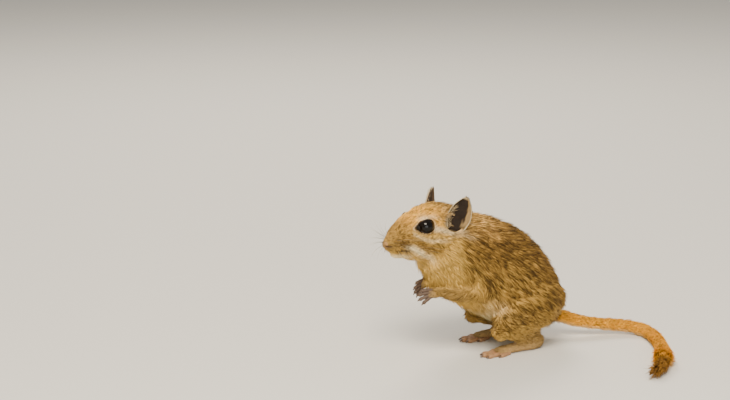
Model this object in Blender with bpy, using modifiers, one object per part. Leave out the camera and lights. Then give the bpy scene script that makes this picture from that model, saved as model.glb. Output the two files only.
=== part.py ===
"""A Mongolian gerbil at life size, as a still model that sits half upright with its forepaws held at its chest.

The floor is z = 0, the animal faces -X, and its own left side is -Y. Everything is made in millimetres
and turned to metres at the end. The forms carry the coat's thickness. The body and the head are lofts
along the spine, joined and then parted by thin flat cuts, and each limb is sunk in a socket that leaves
the same thin gap.
"""

import math

import bmesh
import bpy
import numpy as np
from mathutils import Matrix

MM = 0.001
GAP = 0.3

# The trunk, from inside the head to the root of the tail, as it shows from the side with its coat on.
# Each row is one section: the back's x and z, the belly's x and z, and half the width.
TRUNK_SECTIONS = (
    (-30.0, 63.0, -36.0, 51.0, 7.0),
    (-22.0, 64.0, -38.0, 46.2, 11.0),
    (-13.0, 62.6, -35.4, 38.4, 14.5),
    (-4.5, 60.0, -29.5, 30.0, 17.0),
    (5.0, 56.0, -19.5, 23.0, 19.0),
    (14.5, 50.0, -8.5, 16.5, 20.0),
    (23.0, 40.5, 1.5, 11.5, 20.0),
    (29.5, 29.0, 11.0, 8.5, 17.5),
    (32.5, 18.5, 20.5, 6.5, 11.5),
    (32.5, 12.0, 27.0, 6.4, 5.0),
)
TRUNK_ROUNDNESS = 2.15
TRUNK_RINGS = 24
TRUNK_SIDES = 24

# The head's own frame has its origin midway between the eyes, its nose towards -x, and turns to the left.
HEAD_AT = (-41.6, 0.0, 60.5)
HEAD_TURN = math.radians(5.0)
# Each row is one section of the head: x, top z, bottom z, half the width, and the z where it is widest.
HEAD_SECTIONS = (
    (-14.9, -5.6, -8.4, 1.4, -7.0),
    (-14.2, -4.4, -9.3, 2.7, -7.0),
    (-13.0, -2.9, -10.2, 3.9, -6.9),
    (-11.4, -1.3, -11.1, 5.2, -6.6),
    (-9.4, 0.6, -12.0, 6.6, -6.0),
    (-6.9, 2.2, -13.2, 8.0, -5.6),
    (-4.0, 3.9, -14.2, 9.4, -5.0),
    (0.0, 5.8, -15.0, 10.7, -4.6),
    (4.0, 7.4, -15.4, 11.9, -4.4),
    (8.5, 8.0, -15.2, 12.8, -4.0),
    (13.0, 7.9, -14.4, 13.0, -3.4),
    (18.0, 6.4, -12.6, 12.2, -2.8),
    (22.5, 3.6, -9.5, 9.6, -2.4),
    (25.5, 0.2, -5.6, 5.0, -2.4),
)
HEAD_ROUNDNESS = 2.1
HEAD_RINGS = 25
HEAD_SIDES = 24

# The eye is a ball in a low mound. An almond opening shows it, with the lids as a ring on the opening's edge.
EYE_CENTRE = (1.8, 6.3, 0.3)
EYE_RADIUS = 3.7
EYE_AIM = math.radians(12.0)
EYE_RISE = 0.14
MOUND_CENTRE = (1.6, 5.4, -0.1)
MOUND_RADII = (6.8, 4.2, 4.6)
OPENING_REAR = 3.6
OPENING_FRONT = 4.4
OPENING_HEIGHT = 2.55
LID_THICKNESS = 0.45
LID_POINTS = 20

# The muzzle: whisker pads that part below the nose, the chin, the nose leather and what is cut in them.
PAD_CENTRE = (-9.3, 2.7, -7.5)
PAD_RADII = (4.6, 2.9, 3.0)
PAD_TURN = math.radians(24.0)
CHIN_CENTRE = (-8.4, 0.0, -11.6)
CHIN_RADII = (3.6, 3.0, 1.9)
NOSE_CENTRE = (-14.4, 0.0, -6.9)
NOSE_RADII = (1.2, 1.9, 1.5)
NOSTRIL_PATH = ((-15.7, 0.8, -7.5), (-14.8, 1.2, -7.5), (-13.8, 2.7, -7.1))
NOSTRIL_RADIUS = 0.46
CLEFT_PATH = ((-16.0, 0.0, -7.7), (-15.1, 0.0, -8.7), (-14.3, 0.0, -9.9))
CLEFT_RADIUS = 0.34
MOUTH_PATH = (
    (-14.6, 0.2, -9.6),
    (-12.9, 1.8, -10.4),
    (-11.2, 3.0, -10.9),
    (-9.8, 4.2, -10.7),
    (-8.8, 5.8, -9.9),
)
MOUTH_RADIUS = 0.4

# The ear: a pointed leaf, curled to a cup, that opens forwards and outwards and leans back.
EAR_ROOT = (15.0, 9.3, -2.6)
EAR_TIP = (19.2, 12.3, 11.6)
EAR_OPENS = math.radians(52.0)
EAR_HALF_WIDTH = 5.0
EAR_CUP = 3.2
EAR_CURL = 1.35
EAR_THICKNESS = 0.8
EAR_ROWS = 12
EAR_COLUMNS = 11
# The hollow in the head that the shell's lower half stands in.
CONCHA_CENTRE = (14.6, 11.0, 1.4)
CONCHA_RADII = (5.7, 3.7, 4.7)

# The forelegs, for the left side, as points with a radius across and one upwards.
UPPER_ARM = (
    (-17.0, -8.5, 47.0, 5.5, 5.5),
    (-18.0, -9.8, 42.0, 6.6, 7.4),
    (-16.5, -12.2, 36.0, 5.4, 6.4),
    (-15.5, -13.6, 32.0, 4.4, 4.8),
)
FOREARM = (
    (-14.8, -13.6, 32.4, 4.6, 4.6),
    (-20.5, -12.4, 31.6, 4.5, 4.7),
    (-26.5, -9.4, 31.0, 3.4, 3.8),
    (-31.0, -6.4, 30.9, 2.2, 2.6),
)
PALM = (-33.6, -4.7, 30.2)
PALM_RADII = (3.4, 1.6, 2.5)
FINGER_LENGTHS = (3.6, 4.5, 4.4, 3.4)
FINGER_RADIUS = 0.72
FINGER_DROOP = 0.10
FINGER_WAYS_LEFT = ((-1.0, 0.34, 0.02), (-1.0, 0.34, -0.10), (-1.0, 0.30, -0.30), (-1.0, 0.22, -0.62))
FINGER_WAYS_RIGHT = ((-1.0, -0.30, -0.05), (-1.0, -0.28, -0.25), (-1.0, -0.22, -0.50), (-0.9, -0.12, -0.85))
CLAW_LENGTH = 1.4
RIGHT_HAND_SHIFT = (1.0, -0.2, 2.3)

# The hind legs, for the left side: the haunch with the thigh in it, the shank, and the long flat foot.
HAUNCH = (
    (22.5, -9.6, 21.6, 7.6, 8.6),
    (15.5, -12.6, 22.0, 9.0, 13.0),
    (5.5, -14.6, 18.6, 8.2, 11.8),
    (-2.5, -15.2, 14.2, 6.0, 8.4),
    (-6.5, -15.0, 11.4, 3.8, 5.2),
)
SHANK = (
    (-4.0, -14.4, 11.6, 4.6, 4.6),
    (4.0, -13.8, 9.4, 4.6, 4.4),
    (10.5, -13.2, 7.4, 3.8, 3.4),
    (15.0, -12.8, 5.4, 2.8, 2.6),
)
FOOT = (
    (15.6, -12.6, 3.1, 2.4, 2.9),
    (12.6, -12.6, 2.6, 2.6, 2.8),
    (6.0, -12.6, 2.3, 2.4, 2.4),
    (0.0, -12.6, 2.0, 2.6, 2.1),
    (-4.0, -12.6, 1.7, 3.1, 1.8),
)
TOE_ROOTS = ((-2.2, 2.5), (-4.6, 1.5), (-5.3, 0.0), (-4.6, -1.5), (-2.2, -2.6))
TOE_LENGTHS = (4.0, 6.6, 7.3, 6.8, 4.2)
TOE_TURNS = (17.0, 8.0, 0.0, -9.0, -20.0)
TOE_RADIUS = 0.98
TOE_LEVEL = 0.72
TOE_CLAW = 2.2
RIGHT_FOOT_SHIFT = (4.9, -0.8, 0.0)

# The tail leaves the rump, comes down to the floor and curls round to the animal's left.
# Each row is a point and the radius with the hair on.
TAIL = (
    (25.5, 1.0, 14.0, 4.6),
    (30.5, 0.3, 11.6, 3.9),
    (36.0, -2.4, 9.2, 3.1),
    (44.6, -6.8, 6.6, 2.7),
    (52.0, -9.7, 5.3, 2.65),
    (58.8, -12.2, 4.4, 2.65),
    (64.4, -15.8, 3.7, 2.7),
    (67.4, -21.0, 3.1, 2.75),
    (66.8, -28.2, 2.75, 2.8),
    (62.8, -38.3, 2.7, 2.85),
    (55.6, -50.6, 2.75, 2.95),
    (49.8, -58.6, 2.85, 3.05),
)
TAIL_RINGS = 8
TAIL_SIDES = 10
TAIL_PARTS = 5

# The brush on the tail's end goes on along the same bend.
TUFT = (
    (49.8, -58.6, 2.85, 2.95),
    (45.8, -63.6, 3.0, 2.7),
    (41.2, -68.2, 3.0, 1.9),
    (36.0, -71.8, 2.8, 0.9),
    (30.0, -74.4, 2.4, 0.4),
)
TUFT_CORE_SHARE = 0.6
TUFT_LOCKS = 17
TUFT_LOCK_SHARE = 0.46
LOCK_WIDTH = 1.15
LOCK_THICKNESS = 0.62

# Shares of the trunk's length at which its flat cuts lie.
HEAD_CUT_SHARE = 0.17
NECK_CUT_SHARE = 0.32
CHEST_CUT_SHARE = 0.57
FAR = 200.0
WELD = 0.0005
DOME_STEPS = ((0.9, 0.44), (0.5, 0.866))
SMALL_DOME_STEPS = ((0.7, 0.6),)
TRIES = (("EXACT", WELD), ("EXACT", 0.0), ("MANIFOLD", WELD), ("MANIFOLD", 0.0))

COAT_TAN = (0.55, 0.36, 0.17)
COAT_CREAM = (0.72, 0.62, 0.46)
SKIN_PINK = (0.42, 0.27, 0.22)
EAR_BROWN = (0.30, 0.20, 0.13)
EYE_BLACK = (0.01, 0.01, 0.012)
TUFT_BLACK = (0.08, 0.06, 0.045)

SEED = 7
UPRIGHT = np.array([0.0, 0.0, 1.0])


def clear_scene():
    for obj in list(bpy.data.objects):
        bpy.data.objects.remove(obj, do_unlink=True)


def material(name, colour, roughness):
    made = bpy.data.materials.new(name)
    made.use_nodes = True
    shader = made.node_tree.nodes["Principled BSDF"]
    shader.inputs["Base Color"].default_value = (*colour, 1.0)
    shader.inputs["Roughness"].default_value = roughness
    shader.inputs["Metallic"].default_value = 0.0
    return made


def link_mesh(name, mesh):
    obj = bpy.data.objects.new(name, mesh)
    bpy.context.scene.collection.objects.link(obj)
    return obj


def mesh_object(name, points, faces):
    """A mesh object with its faces turned outwards."""
    mesh = bpy.data.meshes.new(name)
    mesh.from_pydata([tuple(point) for point in np.asarray(points, float)], [], faces)
    work = bmesh.new()
    work.from_mesh(mesh)
    bmesh.ops.recalc_face_normals(work, faces=work.faces)
    work.to_mesh(mesh)
    work.free()
    return link_mesh(name, mesh)


def through(knots, rows, at):
    """Rows read between the knots along a cubic Hermite curve, each slope taken from the neighbours."""
    knots = np.asarray(knots, float)
    rows = np.asarray(rows, float)
    at = np.asarray(at, float)
    slopes = np.gradient(rows, knots, axis=0)
    cell = np.clip(np.searchsorted(knots, at, side="right") - 1, 0, len(knots) - 2)
    width = (knots[cell + 1] - knots[cell])[:, None]
    u = (at - knots[cell])[:, None] / width
    return (
        (2 * u**3 - 3 * u**2 + 1) * rows[cell]
        + (u**3 - 2 * u**2 + u) * width * slopes[cell]
        + (3 * u**2 - 2 * u**3) * rows[cell + 1]
        + (u**3 - u**2) * width * slopes[cell + 1]
    )


def lengths_along(points):
    """The distance along a path to each of its points."""
    steps = np.linalg.norm(np.diff(np.asarray(points, float), axis=0), axis=1)
    return np.concatenate([[0.0], np.cumsum(steps)])


def unit(vector):
    vector = np.asarray(vector, float)
    return vector / np.linalg.norm(vector, axis=-1, keepdims=True)


def loft(name, rings):
    """A closed surface through rings of points, capped at each end by a fan round the ring's middle."""
    rings = np.asarray(rings, float)
    count, sides = rings.shape[:2]
    points = np.concatenate([rings.reshape(-1, 3), rings[:1].mean(1), rings[-1:].mean(1)])
    first, last = count * sides, count * sides + 1
    faces = []
    for side in range(sides):
        after = (side + 1) % sides
        for ring in range(count - 1):
            a, b = ring * sides + side, ring * sides + after
            faces.append((a, b, b + sides, a + sides))
        end = (count - 1) * sides
        faces.append((first, after, side))
        faces.append((last, end + side, end + after))
    return mesh_object(name, points, faces)


def squared_circle(sides, roundness):
    """Sine and cosine round a section, drawn out to a superellipse of that roundness."""
    turn = np.linspace(0.0, 2 * math.pi, sides, endpoint=False)
    sine, cosine = np.sin(turn), np.cos(turn)
    power = 2.0 / roundness
    return np.sign(sine) * np.abs(sine) ** power, np.sign(cosine) * np.abs(cosine) ** power


def dome_spacing(count):
    """Shares from 0 to 1 that crowd at both ends, where a body closes."""
    return 0.5 - 0.5 * np.cos(np.linspace(0.0, math.pi, count))


def trunk_sections(shares):
    rows = np.array(TRUNK_SECTIONS)
    middles = (rows[:, 0:2] + rows[:, 2:4]) / 2
    knots = lengths_along(middles)
    return through(knots / knots[-1], rows, shares)


def trunk_rings():
    read = trunk_sections(dome_spacing(TRUNK_RINGS))
    back = np.stack([read[:, 0], 0 * read[:, 0], read[:, 1]], -1)
    belly = np.stack([read[:, 2], 0 * read[:, 2], read[:, 3]], -1)
    middle, half = (back + belly) / 2, (back - belly) / 2
    across, upwards = squared_circle(TRUNK_SIDES, TRUNK_ROUNDNESS)
    width = np.array([0.0, 1.0, 0.0]) * read[:, 4][:, None]
    return (
        middle[:, None]
        + across[None, :, None] * width[:, None]
        + upwards[None, :, None] * half[:, None]
    )


def trunk_plane(share):
    """The middle and the direction towards the tail of the trunk's section at a share of its length."""
    read = trunk_sections([share])[0]
    middle = np.array([(read[0] + read[2]) / 2, 0.0, (read[1] + read[3]) / 2])
    rise = unit([read[0] - read[2], 0.0, read[1] - read[3]])
    return middle, np.array([rise[2], 0.0, -rise[0]])


def head_to_body(points):
    """Points of the head's frame in the body's frame, turned to the left about the upright axis."""
    points = np.asarray(points, float)
    c, s = math.cos(HEAD_TURN), math.sin(HEAD_TURN)
    x, y, z = points[..., 0], points[..., 1], points[..., 2]
    turned = np.stack([x * c - y * s, x * s + y * c, z], -1)
    return turned + np.array(HEAD_AT)


def head_rings():
    rows = np.array(HEAD_SECTIONS)
    start, end = rows[0, 0], rows[-1, 0]
    at = start + (end - start) * np.linspace(0.0, 1.0, HEAD_RINGS) ** 1.25
    x, top, bottom, width, level = through(rows[:, 0], rows, at).T
    across, upwards = squared_circle(HEAD_SIDES, HEAD_ROUNDNESS)
    height = np.where(upwards[None] > 0, (top - level)[:, None], (level - bottom)[:, None])
    y = width[:, None] * across[None]
    z = level[:, None] + height * upwards[None]
    rings = np.stack([np.broadcast_to(x[:, None], y.shape), y, z], -1)
    return head_to_body(rings)


def frames_along(path):
    """Two directions across the path at each point, the first of them level where the path allows it."""
    ahead = unit(np.gradient(np.asarray(path, float), axis=0))
    upright = UPRIGHT if np.abs(ahead[:, 2]).max() < 0.93 else np.array([1.0, 0.0, 0.0])
    sideways = unit(np.cross(ahead, upright))
    return sideways, np.cross(sideways, ahead)


def tube(name, rows, sides=8, rings=None, domes=1.0):
    """A closed tube through points with a radius across and one upwards, and with domed ends."""
    rows = np.asarray(rows, float)
    along = lengths_along(rows[:, :3])
    read = through(along, rows, np.linspace(0.0, along[-1], rings or len(rows)))
    if domes:
        ahead = unit(np.gradient(read[:, :3], axis=0))
        before, after = [], []
        for step, size in DOME_STEPS if sides > 6 else SMALL_DOME_STEPS:
            low, high = read[0].copy(), read[-1].copy()
            low[:3] -= ahead[0] * low[3:].mean() * domes * step
            high[:3] += ahead[-1] * high[3:].mean() * domes * step
            low[3:] *= size
            high[3:] *= size
            before.append(low)
            after.insert(0, high)
        read = np.concatenate([before, read, after])
    centre, radii = read[:, :3], read[:, 3:]
    sideways, upwards = frames_along(centre)
    turn = np.linspace(0.0, 2 * math.pi, sides, endpoint=False)
    ring = (
        (np.cos(turn)[None] * radii[:, :1])[..., None] * sideways[:, None]
        + (np.sin(turn)[None] * radii[:, 1:])[..., None] * upwards[:, None]
    )
    return loft(name, centre[:, None] + ring)


def round_rows(points, radii):
    """Points with one radius each, as rows for a round tube."""
    points = np.asarray(points, float)
    radii = np.broadcast_to(np.asarray(radii, float), len(points))
    return np.concatenate([points, radii[:, None], radii[:, None]], axis=1)


def ellipsoid(name, centre, radii, turn=None, segments=16):
    """An ellipsoid from a UV sphere, turned about its own middle."""
    work = bmesh.new()
    place = Matrix.Translation(centre) @ (turn or Matrix.Identity(4))
    place = place @ Matrix.Diagonal([*radii, 1.0])
    bmesh.ops.create_uvsphere(
        work, u_segments=segments, v_segments=segments // 2 + 1, radius=1.0, matrix=place
    )
    mesh = bpy.data.meshes.new(name)
    work.to_mesh(mesh)
    work.free()
    return link_mesh(name, mesh)


def apply_modifiers(obj):
    graph = bpy.context.evaluated_depsgraph_get()
    mesh = bpy.data.meshes.new_from_object(obj.evaluated_get(graph))
    obj.modifiers.clear()
    obj.data = mesh


def is_closed(mesh):
    work = bmesh.new()
    work.from_mesh(mesh)
    closed = len(work.faces) > 3 and all(len(edge.link_faces) == 2 for edge in work.edges)
    closed = closed and work.calc_volume(signed=True) > 0
    work.free()
    return closed


def combine(obj, others, operation):
    """One Boolean of obj with a collection of closed meshes, applied, after which the others are removed.

    The exact solver goes first, and the manifold one takes over where that leaves no closed surface.
    Each result is welded where its points nearly meet, unless the weld would pinch the surface.
    """
    group = bpy.data.collections.new("operands")
    bpy.context.scene.collection.children.link(group)
    for other in others:
        group.objects.link(other)
    for solver, weld in TRIES:
        trial = copy_of(obj, "trial")
        modifier = trial.modifiers.new("combine", "BOOLEAN")
        modifier.operation = operation
        modifier.operand_type = "COLLECTION"
        modifier.collection = group
        modifier.solver = solver
        apply_modifiers(trial)
        keep_largest_surface(trial, weld)
        result = trial.data
        bpy.data.objects.remove(trial, do_unlink=True)
        if is_closed(result):
            obj.data = result
            break
    else:
        raise ValueError(f"{obj.name} has no closed surface after its {operation}")
    for other in others:
        bpy.data.objects.remove(other, do_unlink=True)
    bpy.data.collections.remove(group)
    return obj


def keep_largest_surface(obj, weld):
    """Leaves only the connected surface with the most area, in triangles."""
    work = bmesh.new()
    work.from_mesh(obj.data)
    if weld:
        bmesh.ops.remove_doubles(work, verts=work.verts, dist=weld)
        bmesh.ops.dissolve_degenerate(work, edges=work.edges, dist=weld)
    left, surfaces = set(work.faces), []
    while left:
        front, surface = [left.pop()], []
        while front:
            face = front.pop()
            surface.append(face)
            near = {other for edge in face.edges for other in edge.link_faces} & left
            left -= near
            front.extend(near)
        surfaces.append(surface)
    surfaces.sort(key=lambda faces: -sum(face.calc_area() for face in faces))
    loose = [face for surface in surfaces[1:] for face in surface]
    bmesh.ops.delete(work, geom=loose, context="FACES")
    bmesh.ops.triangulate(work, faces=work.faces)
    work.to_mesh(obj.data)
    work.free()


def copy_of(obj, name):
    return link_mesh(name, obj.data.copy())


def grown(obj, by=GAP):
    """A copy of a closed mesh with each point moved out along its normal."""
    made = copy_of(obj, obj.name + "_grown")
    work = bmesh.new()
    work.from_mesh(made.data)
    bmesh.ops.triangulate(work, faces=work.faces)
    work.normal_update()
    moves = [vertex.normal * by for vertex in work.verts]
    for vertex, move in zip(work.verts, moves):
        vertex.co += move
    work.to_mesh(made.data)
    work.free()
    return made


def half_space(name, middle, direction):
    """A large box whose one face passes through middle, and that lies on the side that direction points to."""
    direction = unit(direction)
    side = unit(np.cross(direction, [0.0, 1.0, 0.0]))
    other = np.cross(direction, side)
    turn = Matrix.Identity(4)
    for row in range(3):
        turn[row][0], turn[row][1], turn[row][2] = direction[row], side[row], other[row]
    centre = np.asarray(middle, float) + direction * FAR / 2
    work = bmesh.new()
    bmesh.ops.create_cube(work, size=FAR, matrix=Matrix.Translation(centre) @ turn)
    bmesh.ops.recalc_face_normals(work, faces=work.faces)
    mesh = bpy.data.meshes.new(name)
    work.to_mesh(mesh)
    work.free()
    return link_mesh(name, mesh)


def on_side(points, side):
    """Left-hand points or rows as they are on that side: -1 is the left and 1 the right."""
    made = np.array(points, float)
    made[..., 1] *= -side
    return made


def eye_frame(side):
    """The eye's middle and its directions outwards, forwards and upwards, in the head's frame."""
    x, y, z = EYE_CENTRE
    aim = unit([-math.sin(EYE_AIM), side * math.cos(EYE_AIM), EYE_RISE])
    forward = unit(np.array([-1.0, 0.0, 0.0]) + aim * aim[0])
    upward = np.cross(forward, aim) * -side
    return np.array([x, side * y, z]), aim, forward, upward


def almond(side, depth, scale):
    """Points round the opening of the lids, long in front where the tear corner is."""
    middle, aim, forward, upward = eye_frame(side)
    turn = np.linspace(0.0, 2 * math.pi, LID_POINTS, endpoint=False)
    cosine = np.cos(turn)
    reach = np.where(cosine > 0, OPENING_REAR + (OPENING_FRONT - OPENING_REAR) * cosine**6, OPENING_REAR)
    rise = OPENING_HEIGHT * np.sign(np.sin(turn)) * np.abs(np.sin(turn)) ** 1.15
    return (
        middle
        + (reach * cosine * scale)[:, None] * forward
        + (rise * scale)[:, None] * upward
        + np.asarray(depth)[..., None] * aim
    )


def lid_opening(side):
    """A funnel that opens the mound over the eye."""
    inside = np.full(LID_POINTS, 1.2)
    rings = [almond(side, inside, 0.94), almond(side, inside + 1.8, 1.0), almond(side, inside + 6.0, 1.5)]
    return loft("opening", head_to_body(rings))


def lid_ring(side):
    """The lids as one low ring on the edge of the opening, laid on the ball."""
    middle, aim, _, _ = eye_frame(side)
    edge = almond(side, np.zeros(LID_POINTS), 1.08)
    reach = np.linalg.norm(edge - middle, axis=1)
    height = np.sqrt(np.clip((EYE_RADIUS + GAP) ** 2 - reach**2, 0.8, None))
    points = edge + height[:, None] * aim
    outward = unit(edge - middle)
    small = np.linspace(0.0, 2 * math.pi, 6, endpoint=False)
    rings = (
        points[:, None]
        + LID_THICKNESS * np.cos(small)[None, :, None] * outward[:, None]
        + LID_THICKNESS * np.sin(small)[None, :, None] * aim
    )
    count, sides = rings.shape[:2]
    faces = []
    for ring in range(count):
        for corner in range(sides):
            near, far = ring * sides, (ring + 1) % count * sides
            after = (corner + 1) % sides
            faces.append((near + corner, near + after, far + after, far + corner))
    return mesh_object("lids", head_to_body(rings).reshape(-1, 3), faces)


def head_pieces():
    """What is joined to the skull's loft: eye mounds, whisker pads, chin and nose leather."""
    pieces = [
        ellipsoid("chin", head_to_body(CHIN_CENTRE), CHIN_RADII, segments=14),
        ellipsoid("nose", head_to_body(NOSE_CENTRE), NOSE_RADII, segments=12),
    ]
    for side in (-1, 1):
        turn = Matrix.Rotation(-side * PAD_TURN, 4, "Z")
        pad = head_to_body(on_side(PAD_CENTRE, -side))
        pieces.append(ellipsoid("pad", pad, PAD_RADII, turn, segments=14))
        mound = head_to_body(on_side(MOUND_CENTRE, -side))
        pieces.append(ellipsoid("mound", mound, MOUND_RADII, segments=14))
    return pieces


def face_cutters():
    """The nostrils, the cleft under the nose and the line of the mouth."""
    cleft = round_rows(head_to_body(CLEFT_PATH), CLEFT_RADIUS)
    cutters = [tube("cleft", cleft, sides=6, rings=4)]
    for side in (-1, 1):
        nostril = round_rows(head_to_body(on_side(NOSTRIL_PATH, -side)), NOSTRIL_RADIUS)
        cutters.append(tube("nostril", nostril, sides=6, rings=5))
        mouth = round_rows(head_to_body(on_side(MOUTH_PATH, -side)), MOUTH_RADIUS)
        cutters.append(tube("mouth", mouth, sides=6, rings=10))
    return cutters


def conchas(less):
    """The hollows in front of the ears' shells, smaller all round by that much."""
    radii = np.array(CONCHA_RADII) - less
    return [
        ellipsoid("concha", head_to_body(on_side(CONCHA_CENTRE, -side)), radii, segments=12)
        for side in (-1, 1)
    ]


def make_ear(name, side):
    """The ear's shell: rows up its height and columns across, curled towards its opening, and made thick."""
    root, tip = on_side(EAR_ROOT, -side), on_side(EAR_TIP, -side)
    upward = unit(tip - root)
    opens = np.array([-math.cos(EAR_OPENS), side * math.sin(EAR_OPENS), 0.12])
    opens = unit(opens - upward * (opens @ upward))
    across = np.cross(upward, opens)
    v = np.linspace(-0.12, 0.995, EAR_ROWS)[:, None]
    u = np.linspace(-1.0, 1.0, EAR_COLUMNS)[None, :]
    share = np.clip(v, 0.0, 1.0)
    width = EAR_HALF_WIDTH * (0.66 + 0.34 * np.sin(math.pi * np.clip(share / 0.9, 0, 1)))
    width = width * np.clip(1.0 - share**5.0, 0.003, 1.0) ** 0.5
    cup = EAR_CUP * (1.0 - 0.75 * share**1.6)
    points = (
        root
        + (v * np.linalg.norm(tip - root))[..., None] * upward
        + (width * np.sin(u * EAR_CURL) / math.sin(EAR_CURL))[..., None] * across
        + (cup * (np.abs(u) ** 2.2 - 0.6))[..., None] * opens
    )
    index = np.arange(EAR_ROWS * EAR_COLUMNS).reshape(EAR_ROWS, EAR_COLUMNS)
    quads = np.stack([index[:-1, :-1], index[:-1, 1:], index[1:, 1:], index[1:, :-1]], -1)
    obj = mesh_object(name, head_to_body(points).reshape(-1, 3), quads.reshape(-1, 4).tolist())
    shell = obj.modifiers.new("thickness", "SOLIDIFY")
    shell.thickness = EAR_THICKNESS
    shell.offset = 0.0
    apply_modifiers(obj)
    return obj


def digit(root, way, length, radius, claw, droop):
    """A finger or toe as a tapered tube that bends down, and its claw sunk in its end."""
    way = unit(way)
    steps = np.array([-0.3, 0.3, 0.7, 1.0])
    bend = root + way * (length * steps)[:, None] - UPRIGHT * (droop * length * steps**2)[:, None]
    toe = tube("digit", round_rows(bend, radius * np.array([1.05, 1.0, 0.92, 0.85])), sides=6, rings=3, domes=0.7)
    ahead = unit(bend[-1] - bend[-2])
    steps = np.array([-0.25, 0.5, 1.0])
    hook = bend[-1] + ahead * (claw * steps)[:, None] - UPRIGHT * (0.3 * claw * np.clip(steps, 0, 1) ** 2)[:, None]
    nail = tube("claw", round_rows(hook, radius * np.array([0.66, 0.52, 0.2])), sides=5, rings=3, domes=0.0)
    return [toe, nail]


def make_hand(name, side):
    """The forepaw: a palm, four fingers with claws and the stub of the thumb."""
    palm = on_side(PALM, side) + hand_shift(side)
    turn = Matrix.Rotation(math.radians(side * 18.0), 4, "Z") @ Matrix.Rotation(math.radians(-12.0), 4, "Y")
    hand = ellipsoid(name, palm, PALM_RADII, turn, segments=12)
    ways = FINGER_WAYS_LEFT if side < 0 else FINGER_WAYS_RIGHT
    pieces = []
    for number, (way, length) in enumerate(zip(ways, FINGER_LENGTHS)):
        root = palm + np.array([-2.2 + 0.25 * abs(number - 1.5), -side * 0.5, 1.5 - 1.15 * number])
        pieces += digit(root, way, length, FINGER_RADIUS, CLAW_LENGTH, FINGER_DROOP)
    thumb = palm + np.array([(0.4, -side * 0.9, 1.4), (-1.8, -side * 1.9, 2.2)])
    pieces.append(tube("thumb", round_rows(thumb, (0.8, 0.6)), sides=6, rings=3))
    return combine(hand, pieces, "UNION")


def hand_shift(side):
    return np.array(RIGHT_HAND_SHIFT if side > 0 else (0.0, 0.0, 0.0))


def make_upper_arm(name, side):
    return tube(name, on_side(UPPER_ARM, side), sides=14, rings=7)


def make_forearm(name, side):
    rows = on_side(FOREARM, side)
    rows[:, :3] += hand_shift(side) * np.array([0.2, 0.5, 0.8, 1.0])[:, None]
    return tube(name, rows, sides=12, rings=7)


def make_foot(name, side):
    """The long hind foot: a sole from heel to ball and five toes with claws, flat on the floor."""
    shift = np.array(RIGHT_FOOT_SHIFT if side > 0 else (0.0, 0.0, 0.0))
    rows = on_side(FOOT, side)
    rows[:, :3] += shift
    foot = tube(name, rows, sides=12, rings=8)
    pieces = []
    for (x, outward), length, turn in zip(TOE_ROOTS, TOE_LENGTHS, TOE_TURNS):
        root = on_side((x, FOOT[-1][1] + outward, TOE_LEVEL), side) + shift
        turn = math.radians(turn)
        way = (-math.cos(turn), -side * math.sin(turn), 0.0)
        pieces += digit(root, way, length, TOE_RADIUS, TOE_CLAW, 0.0)
    combine(foot, pieces, "UNION")
    return combine(foot, [floor_box()], "DIFFERENCE")


def make_haunch(name, side):
    """The haunch: the thigh and knee under the coat, and the shank that runs back to the heel."""
    shift = np.array(RIGHT_FOOT_SHIFT if side > 0 else (0.0, 0.0, 0.0))
    thigh, shank = on_side(HAUNCH, side), on_side(SHANK, side)
    thigh[:, :3] += shift * np.array([0.0, 0.1, 0.4, 0.8, 1.0])[:, None]
    shank[:, :3] += shift
    made = tube(name, thigh, sides=18, rings=10)
    return combine(made, [tube("shank", shank, sides=12, rings=7)], "UNION")


LIMB_MAKERS = (
    ("hand", make_hand),
    ("forearm", make_forearm),
    ("upper_arm", make_upper_arm),
    ("haunch", make_haunch),
    ("foot", make_foot),
)


def curve_of(rows, at):
    """Points and radii along rows of points with a radius, read at shares of their length."""
    rows = np.asarray(rows, float)
    along = lengths_along(rows[:, :3])
    read = through(along / along[-1], rows, at)
    return read[:, :3], read[:, 3]


def make_tail():
    """The tail in equal lengths, with the thin gap between them. Its rings share one curve."""
    gap = GAP / lengths_along(np.array(TAIL)[:, :3])[-1]
    edges = np.linspace(0.0, 1.0, TAIL_PARTS + 1)
    turn = np.linspace(0.0, 2 * math.pi, TAIL_SIDES, endpoint=False)
    parts = []
    for number in range(TAIL_PARTS):
        low = edges[number] + (gap / 2 if number else 0.0)
        at = np.linspace(low, edges[number + 1] - gap / 2, TAIL_RINGS)
        centre, radius = curve_of(TAIL, at)
        ahead = unit(curve_of(TAIL, np.clip(at + gap, 0, 1))[0] - curve_of(TAIL, np.clip(at - gap, 0, 1))[0])
        sideways = unit(np.cross(ahead, UPRIGHT))
        upwards = np.cross(sideways, ahead)
        ring = (
            np.cos(turn)[None, :, None] * sideways[:, None]
            + np.sin(turn)[None, :, None] * upwards[:, None]
        )
        parts.append(loft(f"tail_{number + 1}", centre[:, None] + ring * radius[:, None, None]))
    return parts


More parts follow.
